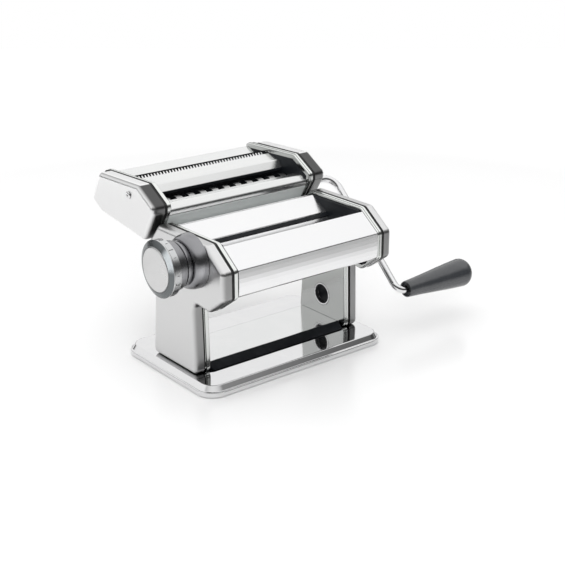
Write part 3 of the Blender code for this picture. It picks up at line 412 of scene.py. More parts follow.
def piece(name, bm, body, finish, slot, replaces=(), bevel=0.0, wall=0.0, outward=True, second=None):
    """A finished piece at its place, riding on its body; chosen faces may take a second finish."""
    bmesh.ops.remove_doubles(bm, verts=bm.verts, dist=1e-6)
    if outward:
        bmesh.ops.recalc_face_normals(bm, faces=bm.faces)
    move(bm, MIDDLE)
    item = as_object(name, bm)
    item.data.materials.append(finish)
    if second:
        item.data.materials.append(second)
    if wall:
        modify(item, "wall", "SOLIDIFY", thickness=wall, offset=-1, use_even_offset=True)
    if bevel:
        modify(item, "eased edges", "BEVEL", width=bevel, segments=2, limit_method="ANGLE",
               angle_limit=radians(40))
    shade(item)
    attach(item, body)
    if replaces:
        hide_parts(*replaces)
    return item


def cut(item, tools, operation="DIFFERENCE"):
    """Cuts bmesh tools out of a piece, or joins them to it, and keeps the result as its mesh."""
    item.modifiers.remove(item.modifiers[FLAT_FACES])
    placed = []
    for bm in tools:
        bmesh.ops.recalc_face_normals(bm, faces=bm.faces)
        move(bm, MIDDLE)
        placed.append(as_object("tool", bm))
        modify(item, "cut", "BOOLEAN", operation=operation, solver="EXACT", object=placed[-1])
    result = finished_mesh(item)
    item.modifiers.clear()
    item.data = result
    for tool in placed:
        bpy.data.objects.remove(tool, do_unlink=True)
    shade(item)


# Shader nodes
def fill(tree, sockets, sources):
    """Links each named socket to its source, or sets it to a plain value."""
    for socket, source in sources:
        if isinstance(source, bpy.types.NodeSocket):
            tree.links.new(source, sockets[socket])
        else:
            sockets[socket].default_value = source


def node(tree, kind, sources=(), **settings):
    """Adds a node and gives its outputs."""
    made = set_up(tree.nodes.new("ShaderNode" + kind), **settings)
    fill(tree, made.inputs, sources)
    return made.outputs


def calc(tree, operation, *values, clamp=False):
    return node(tree, "Math", enumerate(values), operation=operation, use_clamp=clamp)[0]


def vector(tree, operation, *values):
    """A vector operation; a length or a dot product comes out as a number."""
    made = node(tree, "VectorMath", enumerate(values), operation=operation)
    return made[1 if operation in ("LENGTH", "DOT_PRODUCT") else 0]


def scaled(tree, colour, share):
    return node(tree, "VectorMath", [(0, colour), ("Scale", share)], operation="SCALE")[0]


def eased(tree, value, given, wanted=(0.0, 1.0), shape="SMOOTHSTEP"):
    """A value taken from one range to another, smoothly unless its shape is LINEAR."""
    ends = zip(("From Min", "From Max", "To Min", "To Max"), (*given, *wanted))
    return node(tree, "MapRange", [("Value", value), *ends], interpolation_type=shape)[0]


def ranged(tree, value, low, high):
    return eased(tree, value, (0.0, 1.0), (low, high), "LINEAR")


def noise(tree, place, scale, detail, **more):
    sources = [("Vector", place), ("Scale", scale), ("Detail", detail), *more.items()]
    return node(tree, "TexNoise", sources)["Fac"]


def place_group(tree, group, **values):
    return node(tree, "Group", values.items(), node_tree=group)[0]


def shape_normal(tree):
    return node(tree, "NewGeometry")["Normal"]


# Shader groups: each function makes a group's output from its inputs
def stretched_grain(tree, given):
    """Fine streaks along one direction, from noise squeezed across it."""
    squeezed = vector(tree, "MULTIPLY", given["Place"], given["Stretch"])
    centred = calc(tree, "SUBTRACT", noise(tree, squeezed, 1.0, 5.0, Roughness=0.65), 0.5)
    spread = calc(tree, "MULTIPLY", centred, given["Contrast"])
    return calc(tree, "ADD", spread, 0.5, clamp=True)


def soft_smears(tree, given):
    """Wide, faint patches where a hand or a cloth has been."""
    broad = noise(tree, given["Place"], given["Size"], 3.0, Roughness=0.6, Distortion=0.6)
    return eased(tree, broad, (0.38, 0.68))


def spun_grain(tree, given):
    """Rings round an X axis, as left by turning on a lathe."""
    reach = vector(tree, "LENGTH", vector(tree, "MULTIPLY", given["Place"], (0, 1, 1)))
    along = node(tree, "SeparateXYZ", [(0, given["Place"])])[0]
    both = node(tree, "CombineXYZ", [(0, reach), (1, along)])[0]
    return noise(tree, both, given["Fineness"], 2.0)


def fine_scratches(tree, given):
    """A few hairline scratches in crossing directions."""
    lines = []
    for angle, seed in ((0.5, 1.7), (-0.9, 4.3)):
        turned = node(tree, "Mapping",
                      [("Vector", given["Place"]), ("Location", (seed, seed, seed)),
                       ("Rotation", (angle, angle * 0.6, angle)), ("Scale", (60, 1600, 1600))])[0]
        lines.append(eased(tree, noise(tree, turned, 1.0, 1.0), (0.70, 0.76), shape="LINEAR"))
    return calc(tree, "MULTIPLY", calc(tree, "MAXIMUM", *lines), given["Amount"])


def moulded_grain(tree, given):
    """The fine stipple of moulded rubber and plastic."""
    return noise(tree, given["Place"], given["Fineness"], 2.0)


def flank_shade(tree, given):
    """Paints shade and light into a colour on walls that turn away from the X axis, by whether they look up
    or down.
    """
    facing = node(tree, "SeparateXYZ", [(0, given["Facing"])])
    share = eased(tree, facing[2], (0.15, 0.55), (given["Level"], given["Raised"]))
    share = eased(tree, facing[2], (0.90, 0.98), (share, given["Top"]))
    share = eased(tree, facing[2], (-0.60, -0.10), (given["Under"], share))
    share = eased(tree, calc(tree, "ABSOLUTE", facing[0]), (0.15, 0.95), (share, 1.0))
    return scaled(tree, given["Colour"], share)


def new_group(name, make, output, kind=FLOAT, **inputs):
    tree = bpy.data.node_groups.new(name, "ShaderNodeTree")
    for label, socket in inputs.items():
        tree.interface.new_socket(name=label, in_out="INPUT", socket_type=socket)
    tree.interface.new_socket(name=output, in_out="OUTPUT", socket_type=kind)
    given = tree.nodes.new("NodeGroupInput").outputs
    result = tree.nodes.new("NodeGroupOutput").inputs
    tree.links.new(make(tree, given), result[output])
    return tree


GRAIN = new_group("Drawn grain", stretched_grain, "Streak", Place=VECTOR, Stretch=VECTOR, Contrast=FLOAT)
SMEARS = new_group("Soft smears", soft_smears, "Smear", Place=VECTOR, Size=FLOAT)
SPUN = new_group("Spun grain", spun_grain, "Ring", Place=VECTOR, Fineness=FLOAT)
SCRATCHES = new_group("Hairline scratches", fine_scratches, "Scratch", Place=VECTOR, Amount=FLOAT)
STIPPLE = new_group("Moulded stipple", moulded_grain, "Stipple", Place=VECTOR, Fineness=FLOAT)
PAINTED_FLANKS = new_group("Painted flank shade", flank_shade, "Colour", COLOUR, Facing=VECTOR, Colour=COLOUR, Under=FLOAT,
                   Level=FLOAT, Raised=FLOAT, Top=FLOAT)


# Materials
def front_mask(tree):
    """The mask of a painted highlight: one where a turned cone faces the front and a little up, and none on
    the rest of it.
    """
    sideways = vector(tree, "MULTIPLY", shape_normal(tree), (0, 1, 1))
    sideways = vector(tree, "NORMALIZE", sideways)
    towards = vector(tree, "DOT_PRODUCT", sideways, (0, -0.832, 0.555))
    return eased(tree, towards, (0.87, 1.0))


def blended(tree, factor, dark, light, painted_shade=None):
    """A colour between two, by a factor; one number stands for an even grey.

    Its last argument gives painted shade and light: the share of the colour on walls away from X that look
    down, level, up and straight up."""
    dark, light = (tone if isinstance(tone, tuple) else (tone,) * 3 for tone in (dark, light))
    colour = node(tree, "Mix", [(0, factor), (6, (*dark, 1)), (7, (*light, 1))], data_type="RGBA")[2]
    if not painted_shade:
        return colour
    shares = dict(zip(("Under", "Level", "Raised", "Top"), painted_shade))
    return place_group(tree, PAINTED_FLANKS, Facing=shape_normal(tree), Colour=colour, **shares)


def bumped(tree, height, distance):
    return node(tree, "Bump", [("Height", height), ("Distance", distance), ("Strength", 1.0)])[0]


def set_shader(made, **values):
    """Links or sets sockets of a material's shader; an underscore in a name stands for a space."""
    tree = made.node_tree
    named = [(label.replace("_", " "), value) for label, value in values.items()]
    fill(tree, tree.nodes["Principled BSDF"].inputs, named)
    return made


def new_material(name, **values):
    """A material, its node tree and its Object coordinates."""
    made = bpy.data.materials.new(name)
    made.use_nodes = True
    set_shader(made, **values)
    return made, made.node_tree, node(made.node_tree, "TexCoord")["Object"]


def steel(name, dark, light, roughness, stretch, contrast=1.0, scratch=0.0, relief=4e-6,
          painted_shade=None, metallic=1.0):
    """Rolled or brushed sheet: streaks along the stretch, smears and hairline scratches."""
    made, tree, place = new_material(name, Metallic=metallic)
    streak = place_group(tree, GRAIN, Place=place, Stretch=stretch, Contrast=contrast)
    smear = place_group(tree, SMEARS, Place=place, Size=28.0)
    tone = calc(tree, "MULTIPLY_ADD", smear, 0.35, calc(tree, "MULTIPLY", streak, 0.65))
    rough = ranged(tree, smear, roughness * 0.92, roughness * 1.12)
    height = streak
    if scratch:
        mark = place_group(tree, SCRATCHES, Place=place, Amount=scratch)
        rough = calc(tree, "MULTIPLY_ADD", mark, 0.12, rough)
        height = calc(tree, "SUBTRACT", streak, mark)
    return set_shader(made, Base_Color=blended(tree, tone, dark, light, painted_shade), Roughness=rough,
                      Normal=bumped(tree, height, relief))


def turned_metal(name, dark, light, roughness, centre, fineness=2500.0, painted_shade=None, painted_glint=0.0):
    """Lathe-turned metal with rings round an X axis through a place (y, z).

    The glint is a painted highlight: how many times brighter its front is, where it also looks less like bare
    metal."""
    made, tree, place = new_material(name, Metallic=1.0)
    middle = node(tree, "Mapping",
                  [("Vector", place), ("Location", (0, -centre[0] - MIDDLE.y, -centre[1]))])[0]
    ring = place_group(tree, SPUN, Place=middle, Fineness=fineness)
    smear = place_group(tree, SMEARS, Place=place, Size=60.0)
    colour = blended(tree, ring, dark, light, painted_shade)
    if painted_glint:
        mask = front_mask(tree)
        colour = scaled(tree, colour, calc(tree, "MULTIPLY_ADD", mask, painted_glint - 1.0, 1.0))
        set_shader(made, Metallic=calc(tree, "MULTIPLY_ADD", mask, -0.75, 1.0))
    return set_shader(made, Base_Color=colour, Normal=bumped(tree, ring, 6e-6),
                      Roughness=ranged(tree, smear, roughness * 0.85, roughness * 1.2))


def moulded(name, dark, light, roughness, relief=2e-5, fineness=1800.0, **values):
    """Moulded rubber or plastic with a fine stipple and faint rubbed patches."""
    made, tree, place = new_material(name, **values)
    stipple = place_group(tree, STIPPLE, Place=place, Fineness=fineness)
    smear = place_group(tree, SMEARS, Place=place, Size=45.0)
    return set_shader(made, Base_Color=blended(tree, smear, dark, light),
                      Roughness=ranged(tree, smear, roughness * 1.1, roughness * 0.85),
                      Normal=bumped(tree, stipple, relief))


# Several finishes below take four shares for their walls away from X: painted shade and painted light, darker
# or lighter by whether a wall looks down, level or up.
MIRROR = steel("mirror sheet", (0.70, 0.70, 0.71), 0.76, 0.07, (30, 700, 700), 0.5, 0.3)
FRAME_FINISH = steel("frame sheet", (0.46, 0.47, 0.46), (0.50, 0.51, 0.50), 0.16, (40, 700, 700), 0.6, 0.3,
                     painted_shade=(1.2, 1.6, 1.75, 1.6))
TRAY_FINISH = steel("tray sheet", (0.70, 0.71, 0.71), 0.76, 0.12, (30, 500, 500), 0.5, 0.4)
HEAD_SHEET = steel("head sheet", (0.89, 0.89, 0.90), 0.93, 0.24, (25, 900, 900), 0.5, 0.2, 1.5e-6,
                   painted_shade=(0.95, 0.97, 1.0, 1.0))
CUTTER_SHEET = steel("cutter sheet", (0.78, 0.79, 0.79), (0.84, 0.84, 0.83), 0.22, (25, 900, 900), 0.7, 0.2,
                     2e-6)
SATIN = steel("satin cover", 0.63, 0.67, 0.32, (700, 900, 60), 0.6, 0.2, 2e-6,
              painted_shade=(0.20, 0.52, 1.2, 0.9))
CUTTER_SATIN = steel("cutter cover satin", 0.77, 0.81, 0.30, (700, 900, 60), 0.6, 0.2, 2e-6,
                     painted_shade=(0.30, 0.32, 0.13, 1.2))
LOWER = steel("lower sheet", (0.87, 0.91, 0.90), (0.92, 0.95, 0.94), 0.50, (25, 900, 900), 1.0,
              metallic=0.15)
BRACKET = steel("bracket sheet", (0.55, 0.55, 0.56), 0.66, 0.36, (30, 600, 600), 1.0, 0.4)
ROD_STEEL = steel("rod steel", (0.66, 0.66, 0.67), 0.74, 0.20, (60, 900, 900), 1.0)
GEAR_STEEL = steel("gear steel", 0.36, (0.48, 0.48, 0.47), 0.38, (400, 400, 400), 1.0)
CHROME = steel("crank chrome", (0.80, 0.80, 0.81), 0.86, 0.07, (200, 200, 200), 0.5, 0.2)
ROLLER = turned_metal("roller metal", (0.86, 0.86, 0.87), (0.92, 0.92, 0.93), 0.24, REAR_ROLLER)
CUTTER = turned_metal("cutter metal", 0.44, 0.52, 0.36, WIDE)
CAP_STEEL = turned_metal("dial cap", 0.60, 0.66, 0.32, DIAL, 3000.0)
# The dial ring's glint is a painted highlight on its front, a little above its middle.
DIAL_RING = turned_metal("dial ring", (0.11, 0.12, 0.125), (0.19, 0.20, 0.205), 0.26, DIAL, 2200.0,
                         painted_glint=4.6)
NUMBER_BAND = turned_metal("number band", (0.56, 0.57, 0.57), (0.64, 0.64, 0.65), 0.26, DIAL,
                           painted_shade=(0.36, 0.90, 1.05, 1.10))
DARK_CHROME = turned_metal("dark chrome", (0.22, 0.22, 0.23), (0.30, 0.30, 0.31), 0.24, DIAL,
                           painted_shade=(0.45, 1.50, 1.25, 1.10))
RUBBER = moulded("black rubber", 0.010, 0.020, 0.62)
# Black serves as black plastic, and as painted shade in gaps, in the cutters' grooves and inside the cutter
# sheets.
BLACK = moulded("black plastic and painted shade", (0.006, 0.007, 0.009), (0.011, 0.013, 0.016), 0.50, 1e-5,
                Specular_IOR_Level=0.22)
INK = moulded("number ink", 0.03, 0.05, 0.5, 1e-5)
HANDLE = moulded("handle plastic", (0.042, 0.045, 0.050), (0.056, 0.059, 0.064), 0.20, 6e-6, 2400.0,
                 Specular_IOR_Level=0.9)


# Base
def base_plate():
    half_w, half_d = (half + RIM_OUT for half in PLATE_HALF)
    bm = bmesh.new()
    corners = ((half_w, half_d), (-half_w, half_d), (-half_w, -half_d), (half_w, -half_d))
    verts = [bm.verts.new((x, y, RIM_LEDGE_Z)) for x, y in corners]
    bm.faces.new(verts)
    round_corners(bm, verts, [PLATE_CORNER + RIM_OUT] * 4, 14)
    top = bm.faces[:]
    lip = bmesh.ops.extrude_edge_only(bm, edges=bm.edges[:])["geom"]
    bmesh.ops.translate(bm, verts=moved_verts(lip), vec=(0, 0, RIM_BOTTOM_Z - RIM_LEDGE_Z))
    for thickness, depth in ((RIM_OUT - RIM_SLOPE_OUT, 0), (RIM_SLOPE_OUT, PLATE_TOP - RIM_LEDGE_Z)):
        bmesh.ops.inset_region(bm, faces=top, thickness=thickness, depth=depth, use_even_offset=True,
                               use_boundary=True)
    creases = [edge for edge in bm.edges
               if len(edge.link_faces) == 2 and edge.calc_face_angle() > radians(20)
               and abs(edge.verts[0].co.z - edge.verts[1].co.z) < 1e-6]
    starts = [edge.verts[0].co for edge in creases]
    rims = [max(abs(start.x) - half_w, abs(start.y) - half_d) > -1e-5 for start in starts]
    for outer, ease in ((True, 0.0011), (False, 0.0006)):
        geom = [edge for edge, rim in zip(creases, rims) if rim == outer and edge.is_valid]
        round_off(bm, geom, ease, 4)
    piece("base_sheet", bm, "stand", MIRROR, "polished_steel", ["base_plate"], wall=PLATE_SHEET,
          outward=False)


def feet():
    profile = [(0.0, 0), (0.0, 0.0074), (0.0006, 0.0080), (0.0026, 0.0082), (0.0032, 0.0076),
               (0.0038, 0.0084), (0.0080, 0.0090), (0.0085, 0.0086), (0.0085, 0)]
    for row, y in (("front", -1), ("rear", 1)):
        for hand, x in SIDES.items():
            bm = lathe(profile, (0, 0), steps=40)
            turn(bm, -pi / 2, "Y")
            move(bm, (x * FOOT_PLACE[0], y * FOOT_PLACE[1], 0))
            piece(f"rubber_foot_{row}_{hand}", bm, "stand", RUBBER, "black_rubber", [f"foot_{row}_{hand}"])


def tray():
    low = PLATE_TOP + FIT
    path = [(TRAY_REAR_Y, low), (TRAY_REAR_Y, TRAY_TOP), (TRAY_FRONT_Y, TRAY_TOP), (TRAY_FRONT_Y, low)]
    piece("tray_sheet", sheet(path, 0.0008, thickness=TRAY_SHEET), "stand", TRAY_FINISH, "polished_steel",
          ["tray"])
    back = TRAY_FRONT_Y - FIT
    front, top = back - STRIP_DEPTH, low + STRIP_HEIGHT
    bm = bmesh.new()
    for side in (-1, 1):
        ends = ((back, low, 0), (back, top, 0), (front, low + 0.0008, 0.0030), (front, low, 0.0030))
        bm.faces.new([bm.verts.new((side * (SHEET_HALF - slant), y, z)) for y, z, slant in ends])
    bmesh.ops.bridge_loops(bm, edges=bm.edges[:])
    piece("black_strip", bm, "stand", BLACK, "black_plastic", ["tray_strip"], bevel=0.0006)


# Housings
def shell(name, old, bm, hand, body, finish, slot, tools, **finishing):
    """A piece mirrored to one side, with its openings cut, that stands for an old node there."""
    item = piece(f"{name}_{hand}", mirrored(bm, SIDES[hand]), body, finish, slot, [f"{old}_{hand}"],
                 **finishing)
    cut(item, tools)


def seal(name, old, edge, opening, hand, body):
    """A black ring that darkens the gap between a frame and its cover."""
    ring = drawn(edge, X_RIM - 0.0002, X_COVER + DARK_GAP + 0.0002)
    tools = [block(SIDES[hand], opening, 0.079, 0.084)]
    shell(name, old, ring, hand, body, RUBBER, "black_rubber", tools)


def frames_and_covers():
    slot = rectangle(FRONT_ROLLER[0] - 0.0073, 0.0957, FRONT_ROLLER[0] + 0.0097, 0.1103)
    axes = (WIDE, (WIDE[0] + WIDE_SPACING, WIDE[1]), FINE, (FINE[0] + FINE_SPACING, FINE[1]))
    screw = from_wide([SCREW])[0]
    # The head's dark gap ring lies near the rim round the head and is set back along the leg
    near, set_back = head_outline(0.0006), head_outline(0.0020)
    edge = near[:5] + set_back[5:9] + near[9:]
    for hand, side in SIDES.items():
        frame_hole, cover_holes, cutter_holes = (DIAL, 0.0031), [(DIAL, 0.0088)], [(screw, 0.0019)]
        if side > 0:
            frame_hole = (CLAMP, CLAMP_HOLE)
            cover_holes = [(REAR_ROLLER, SOCKET + FIT), (CLAMP, CLAMP_HOLE)]
            cutter_holes += [(WIDE, SOCKET + FIT), (FINE, SOCKET + FIT)]
        tools = [*holes(side, WALL, (REAR_ROLLER, JOURNAL + FIT)), block(side, slot, *WALL),
                 *holes(side, WALL, frame_hole)]
        shell("side_frame", "frame", pan(head_outline()), hand, "stand", FRAME_FINISH, "polished_steel",
              tools, wall=FRAME_SHEET, bevel=0.0003)
        seal("seal", "gasket", edge, head_outline(0.0056), hand, "stand")
        cover = cup(head_outline(), X_COVER + DARK_GAP, X_FACE, 0.0044, 7)
        shell("outer_cover", "side_cover", cover, hand, "stand", SATIN, "satin_steel",
              holes(side, SKIN, *cover_holes), wall=COVER_SHEET)

        tools = holes(side, WALL, *((axis, JOURNAL + FIT) for axis in axes))
        shell("cutter_side", "cutter_frame", pan(cutter_outline(0.0001), lining=True), hand, "attachment",
              FRAME_FINISH, "polished_steel", tools, wall=FRAME_SHEET, second=BLACK)
        seal("cutter_gap_ring", "cutter_gasket", cutter_outline(0.0006), cutter_outline(0.0056), hand,
             "attachment")
        cover = cup(cutter_outline(0.0, COVER_TOP_REAR), X_COVER + DARK_GAP, X_CUT_FACE, 0.0042, 6)
        shell("cutter_outer_cover", "cutter_cover", cover, hand, "attachment", CUTTER_SATIN,
              "satin_steel", holes(side, CUT_SKIN, *cutter_holes), wall=COVER_SHEET)
        screw_head(hand, side, screw)


def screw_head(hand, side, centre):
    """A pan-head screw with a cross recess."""
    y, z = centre
    face = X_CUT_FACE + FIT
    shank = X_FRAME + FRAME_SHEET + FIT
    profile = [(shank, 0), (shank, 0.0016), (face, 0.0016), (face, 0.0033),
               (face + 0.0005, 0.0033), (face + 0.0009, 0.0029), (face + 0.0012, 0.0021),
               (face + 0.0013, 0)]
    cross = [block(side, rectangle(y + wide, z + tall, y - wide, z - tall), face + 0.0004, face + 0.002)
             for tall, wide in ((0.0016, 0.0003), (0.0003, 0.0016))]
    shell("cross_screw", "cutter_screw", lathe(profile, centre, steps=40), hand, "attachment", ROD_STEEL,
          "polished_steel", cross)


# Sheets
def meeting(before, corner, after):
    """Where two sheets meet inside a corner of the head."""
    return tuple(offset_corner(before, corner, after, SETBACK))


def between(a, b, share):
    return tuple(p + (q - p) * share for p, q in zip(a, b))


def head_sheets():
    crease = meeting(TOP_FRONT, NOSE_TOP, NOSE_LOW)
    upper = meeting(TOP_REAR, TOP_FRONT, NOSE_TOP)
    lip_y = crease[0] + 0.0030
    low_z = NOSE_LOW[1] + 0.0016
    belly = [(crease[0] - 0.0007 * sin(pi * k / 6), crease[1] + (low_z - crease[1]) * k / 6)
             for k in range(1, 6)]
    front = [between(upper, crease, 0.13), crease, *belly, (crease[0], low_z),
             (lip_y, NOSE_LOW[1] - 0.0008), (lip_y + 0.0040, NOSE_LOW[1] - 0.0008)]
    rear_top = meeting(REAR_LOW, REAR_TOP, TOP_REAR)
    rear = [meeting(FOOT_REAR, REAR_CROTCH, REAR_LOW), meeting(REAR_CROTCH, REAR_LOW, REAR_TOP), rear_top,
            between(rear_top, (TOP_REAR[0], TOP_REAR[1] - SETBACK), 0.80)]
    guide = [(0.0119, 0.1242), (0.0107, 0.1302), (-0.0116, 0.1183), (-0.0110, 0.1173)]
    for name, path, half, bend, old in (
            ("front_sheet", front, SHEET_HALF, 0.0006, "front_cover"),
            ("rear_sheet", rear, SHEET_HALF, 0.0010, "rear_cover"),
            ("guide_sheet", guide, X_ROLLER, 0.0008, "dough_guide")):
        piece(name, sheet(path, bend, half), "stand", HEAD_SHEET, "polished_steel", [old])


def dark_strips():
    """A dark strip behind the gap between the front and lower sheets, as painted shade in that gap, and a
    wall between the cutters.
    """
    backing = ((-0.0160, 0.0100), (-0.0168, 0.0098), (-0.0160, 0.0030), (-0.0150, 0.0026),
               (-0.0146, 0.0034))
    wall = ((0.0338, 0.0190), (0.0338, -0.0040), (0.0343, -0.0044), (0.0348, -0.0040), (0.0348, 0.0190))
    for name, outline, finish, slot in (("gap_shade_strip", backing, GEAR_STEEL, "satin_steel"),
                                        ("cutter_divider", wall, BLACK, "black_plastic")):
        corners = [(*place, 0) for place in from_wide(outline)]
        piece(name, drawn(corners, -SHEET_HALF, SHEET_HALF), "attachment", finish, slot)


def wiper_lip():
    """A thin black lip that hangs from the dough guide's lower edge, just clear of the roller: painted shade
    for the dark gap there.
    """
    angles = (33, 36, 39, 42, 45)
    corners = []
    for radius, order in ((ROLLER_RADIUS + 0.0005, angles), (ROLLER_RADIUS + 0.0013, angles[::-1])):
        for lean in map(radians, order):
            corners.append((REAR_ROLLER[0] - radius * sin(lean), REAR_ROLLER[1] + radius * cos(lean), 0))
    piece("wiper_lip", drawn(corners, -X_ROLLER, X_ROLLER), "stand", BLACK, "black_plastic")


def cutter_sheets():
    rear = [(0.0695, -0.0050), (0.0780, 0.0018), (0.0745, 0.0243), (0.0592, 0.0206)]
    middle = [(0.0418, 0.0168), (0.0406, 0.0238), (0.0228, 0.0208), (0.0170, 0.0130), (0.0185, 0.0113)]
    front = [(-0.0002, 0.0112), (-0.0016, 0.0127), (-0.0128, 0.0137), (-0.0180, 0.0088),
             (-0.0179, 0.0048)]
    lower = [(-0.0167, 0.0034), (-0.0163, 0.0026), (-0.0060, -0.0147)]
    for name, path, bend, below in (("rear", rear, 0.0015, 0.0), ("middle", middle, 0.0014, 0.0142),
                                    ("front", front, 0.0030, 0.0)):
        item = piece(f"cutter_top_{name}", sheet(from_wide(path), bend), "attachment", CUTTER_SHEET,
                     "polished_steel", [f"cutter_sheet_{name}"], second=BLACK)
        blacken_inside(item, WIDE[1] + below if below else 0.0)
    piece("cutter_top_lower", sheet(from_wide(lower), 0.0003), "attachment", LOWER, "satin_steel",
          ["cutter_sheet_lower"])


def blacken_inside(item, below):
    """Paints shade black on the faces of a cutter sheet that look towards the cutters, and on all under a
    height.
    """
    middle = Vector((0, (WIDE[0] + FINE[0]) / 2 + 0.012, (WIDE[1] + FINE[1]) / 2)) + MIDDLE
    for face in item.data.polygons:
        inwards = middle - face.center
        inwards.x = 0
        faces_in = face.normal.dot(inwards.normalized()) > 0.25 and abs(face.normal.x) < 0.5
        if faces_in or face.center.z < below:
            face.material_index = 1


def fine_comb():
    """A comb of fine teeth that shows in the slot over the fine cutters."""
    pitch = 2 * SHEET_HALF / COMB_TEETH
    bm = bmesh.new()
    verts = [bm.verts.new((x, COMB[0] - 0.0010, COMB[1] - 0.0010)) for x in (SHEET_HALF, -SHEET_HALF)]
    for k in range(COMB_TEETH):
        for share, height in COMB_TOOTH:
            x = -SHEET_HALF + (k + share) * pitch
            verts.append(bm.verts.new((x, COMB[0] + height, COMB[1] + height)))
    bm.faces.new(verts)
    draw_out(bm, bm.faces[:], (0, 0.0006, 0))
    piece("fine_comb", bm, "attachment", HEAD_SHEET, "polished_steel")


# Rollers
def dough_rollers():
    socket, end, gear_end = 0.0867, X_FACE + FIT, 0.0811 + 0.0050
    barrel = [(-X_ROLLER, JOURNAL), (-X_ROLLER, ROLLER_RADIUS), (X_ROLLER, ROLLER_RADIUS),
              (X_ROLLER, JOURNAL)]
    driven = [(socket, JOURNAL), (socket, SOCKET), (end, SOCKET), (end, 0)]
    plain = [(gear_end, JOURNAL), (gear_end, 0)]
    for row, centre, start, drive in (("rear", REAR_ROLLER, -0.0795, driven),
                                      ("front", FRONT_ROLLER, -0.0797, plain)):
        profile = [(start, 0), (start, JOURNAL), *barrel, *drive]
        item = piece(f"roller_{row}", lathe(profile, centre), f"{row}_roller", ROLLER, "roller_metal",
                     [f"{row}_roller"], bevel=0.0003)
        if drive == driven:
            cut(item, [hexagon(centre, socket + 0.0012, X_FACE + 0.001)])


def black_below(item, centre, radius):
    """Paints shade black on a cutter inside a radius and on the walls of its grooves."""
    item.data.materials.append(BLACK)
    for face in item.data.polygons:
        middle = face.center - MIDDLE
        reach = Vector((middle.y - centre[0], middle.z - centre[1])).length
        if abs(middle.x) < CUTTER_LENGTH / 2 + 0.0003 and (reach < radius or abs(face.normal.x) > 0.5):
            face.material_index = 1


def cutter_roller(kind, row, shift, axis, spacing, discs, shade_radius):
    """A cutter with its discs, its gear and, where it is driven, its hexagonal socket."""
    centre = (axis[0] + shift * spacing, axis[1])
    start = -X_FRAME - FRAME_SHEET - 0.0015
    gear, half, end = X_COVER + 0.0010, CUTTER_LENGTH / 2, X_CUT_FACE + FIT
    gear_end = gear + 0.0040
    neck = gear_end + 0.0008
    profile = [(start, 0), (start, JOURNAL), (-half, JOURNAL), (-half, discs[0][1]), *discs,
               (half, discs[-1][1]), (half, JOURNAL), (neck, JOURNAL)]
    profile += [(neck, 0)] if shift else [(neck, SOCKET), (end, SOCKET), (end, 0)]
    item = piece(f"{kind}_rolls_{row}", lathe(profile, centre, steps=64), f"{kind}_{row}", CUTTER,
                 "roller_metal", [f"{kind}_cutter_{row}"])
    wheel = disc(centre, spacing / 2 + 0.0009, gear, gear_end, 4 * GEAR_TEETH, shift * pi / GEAR_TEETH,
                 spacing / 2 - 0.0014)
    cut(item, [wheel], "UNION")
    if not shift:
        cut(item, [hexagon(centre, gear_end + 0.0020, X_CUT_FACE + 0.001)])
    black_below(item, centre, shade_radius)


def cutters():
    """The front cutter of each pair is driven; the rear one lies one spacing behind it."""
    pitch = CUTTER_LENGTH / (WIDE_DISCS + 0.5)
    half = pitch / 4 - FIT / 2
    step = CUTTER_LENGTH / FINE_GROOVES
    for shift, row, fine_shade_radius in ((0, "front", 0.0058), (1, "rear", 0.0200)):
        discs = []
        for k in range(WIDE_DISCS + shift):
            middle = (k - (WIDE_DISCS + shift - 1) / 2) * pitch
            discs += [(middle - half, WIDE_CORE), (middle - half, WIDE_DISC), (middle + half, WIDE_DISC),
                      (middle + half, WIDE_CORE)]
        cutter_roller("wide", row, shift, WIDE, WIDE_SPACING, discs, 0.0058)
        grooves = []
        for k in range(FINE_GROOVES):
            x = -CUTTER_LENGTH / 2 + k * step
            grooves += [(x + step * 0.25, FINE_DISC), (x + step * 0.30, FINE_CORE),
                        (x + step * 0.70, FINE_CORE), (x + step * 0.75, FINE_DISC)]
        cutter_roller("fine", row, shift, FINE, FINE_SPACING, grooves, fine_shade_radius)


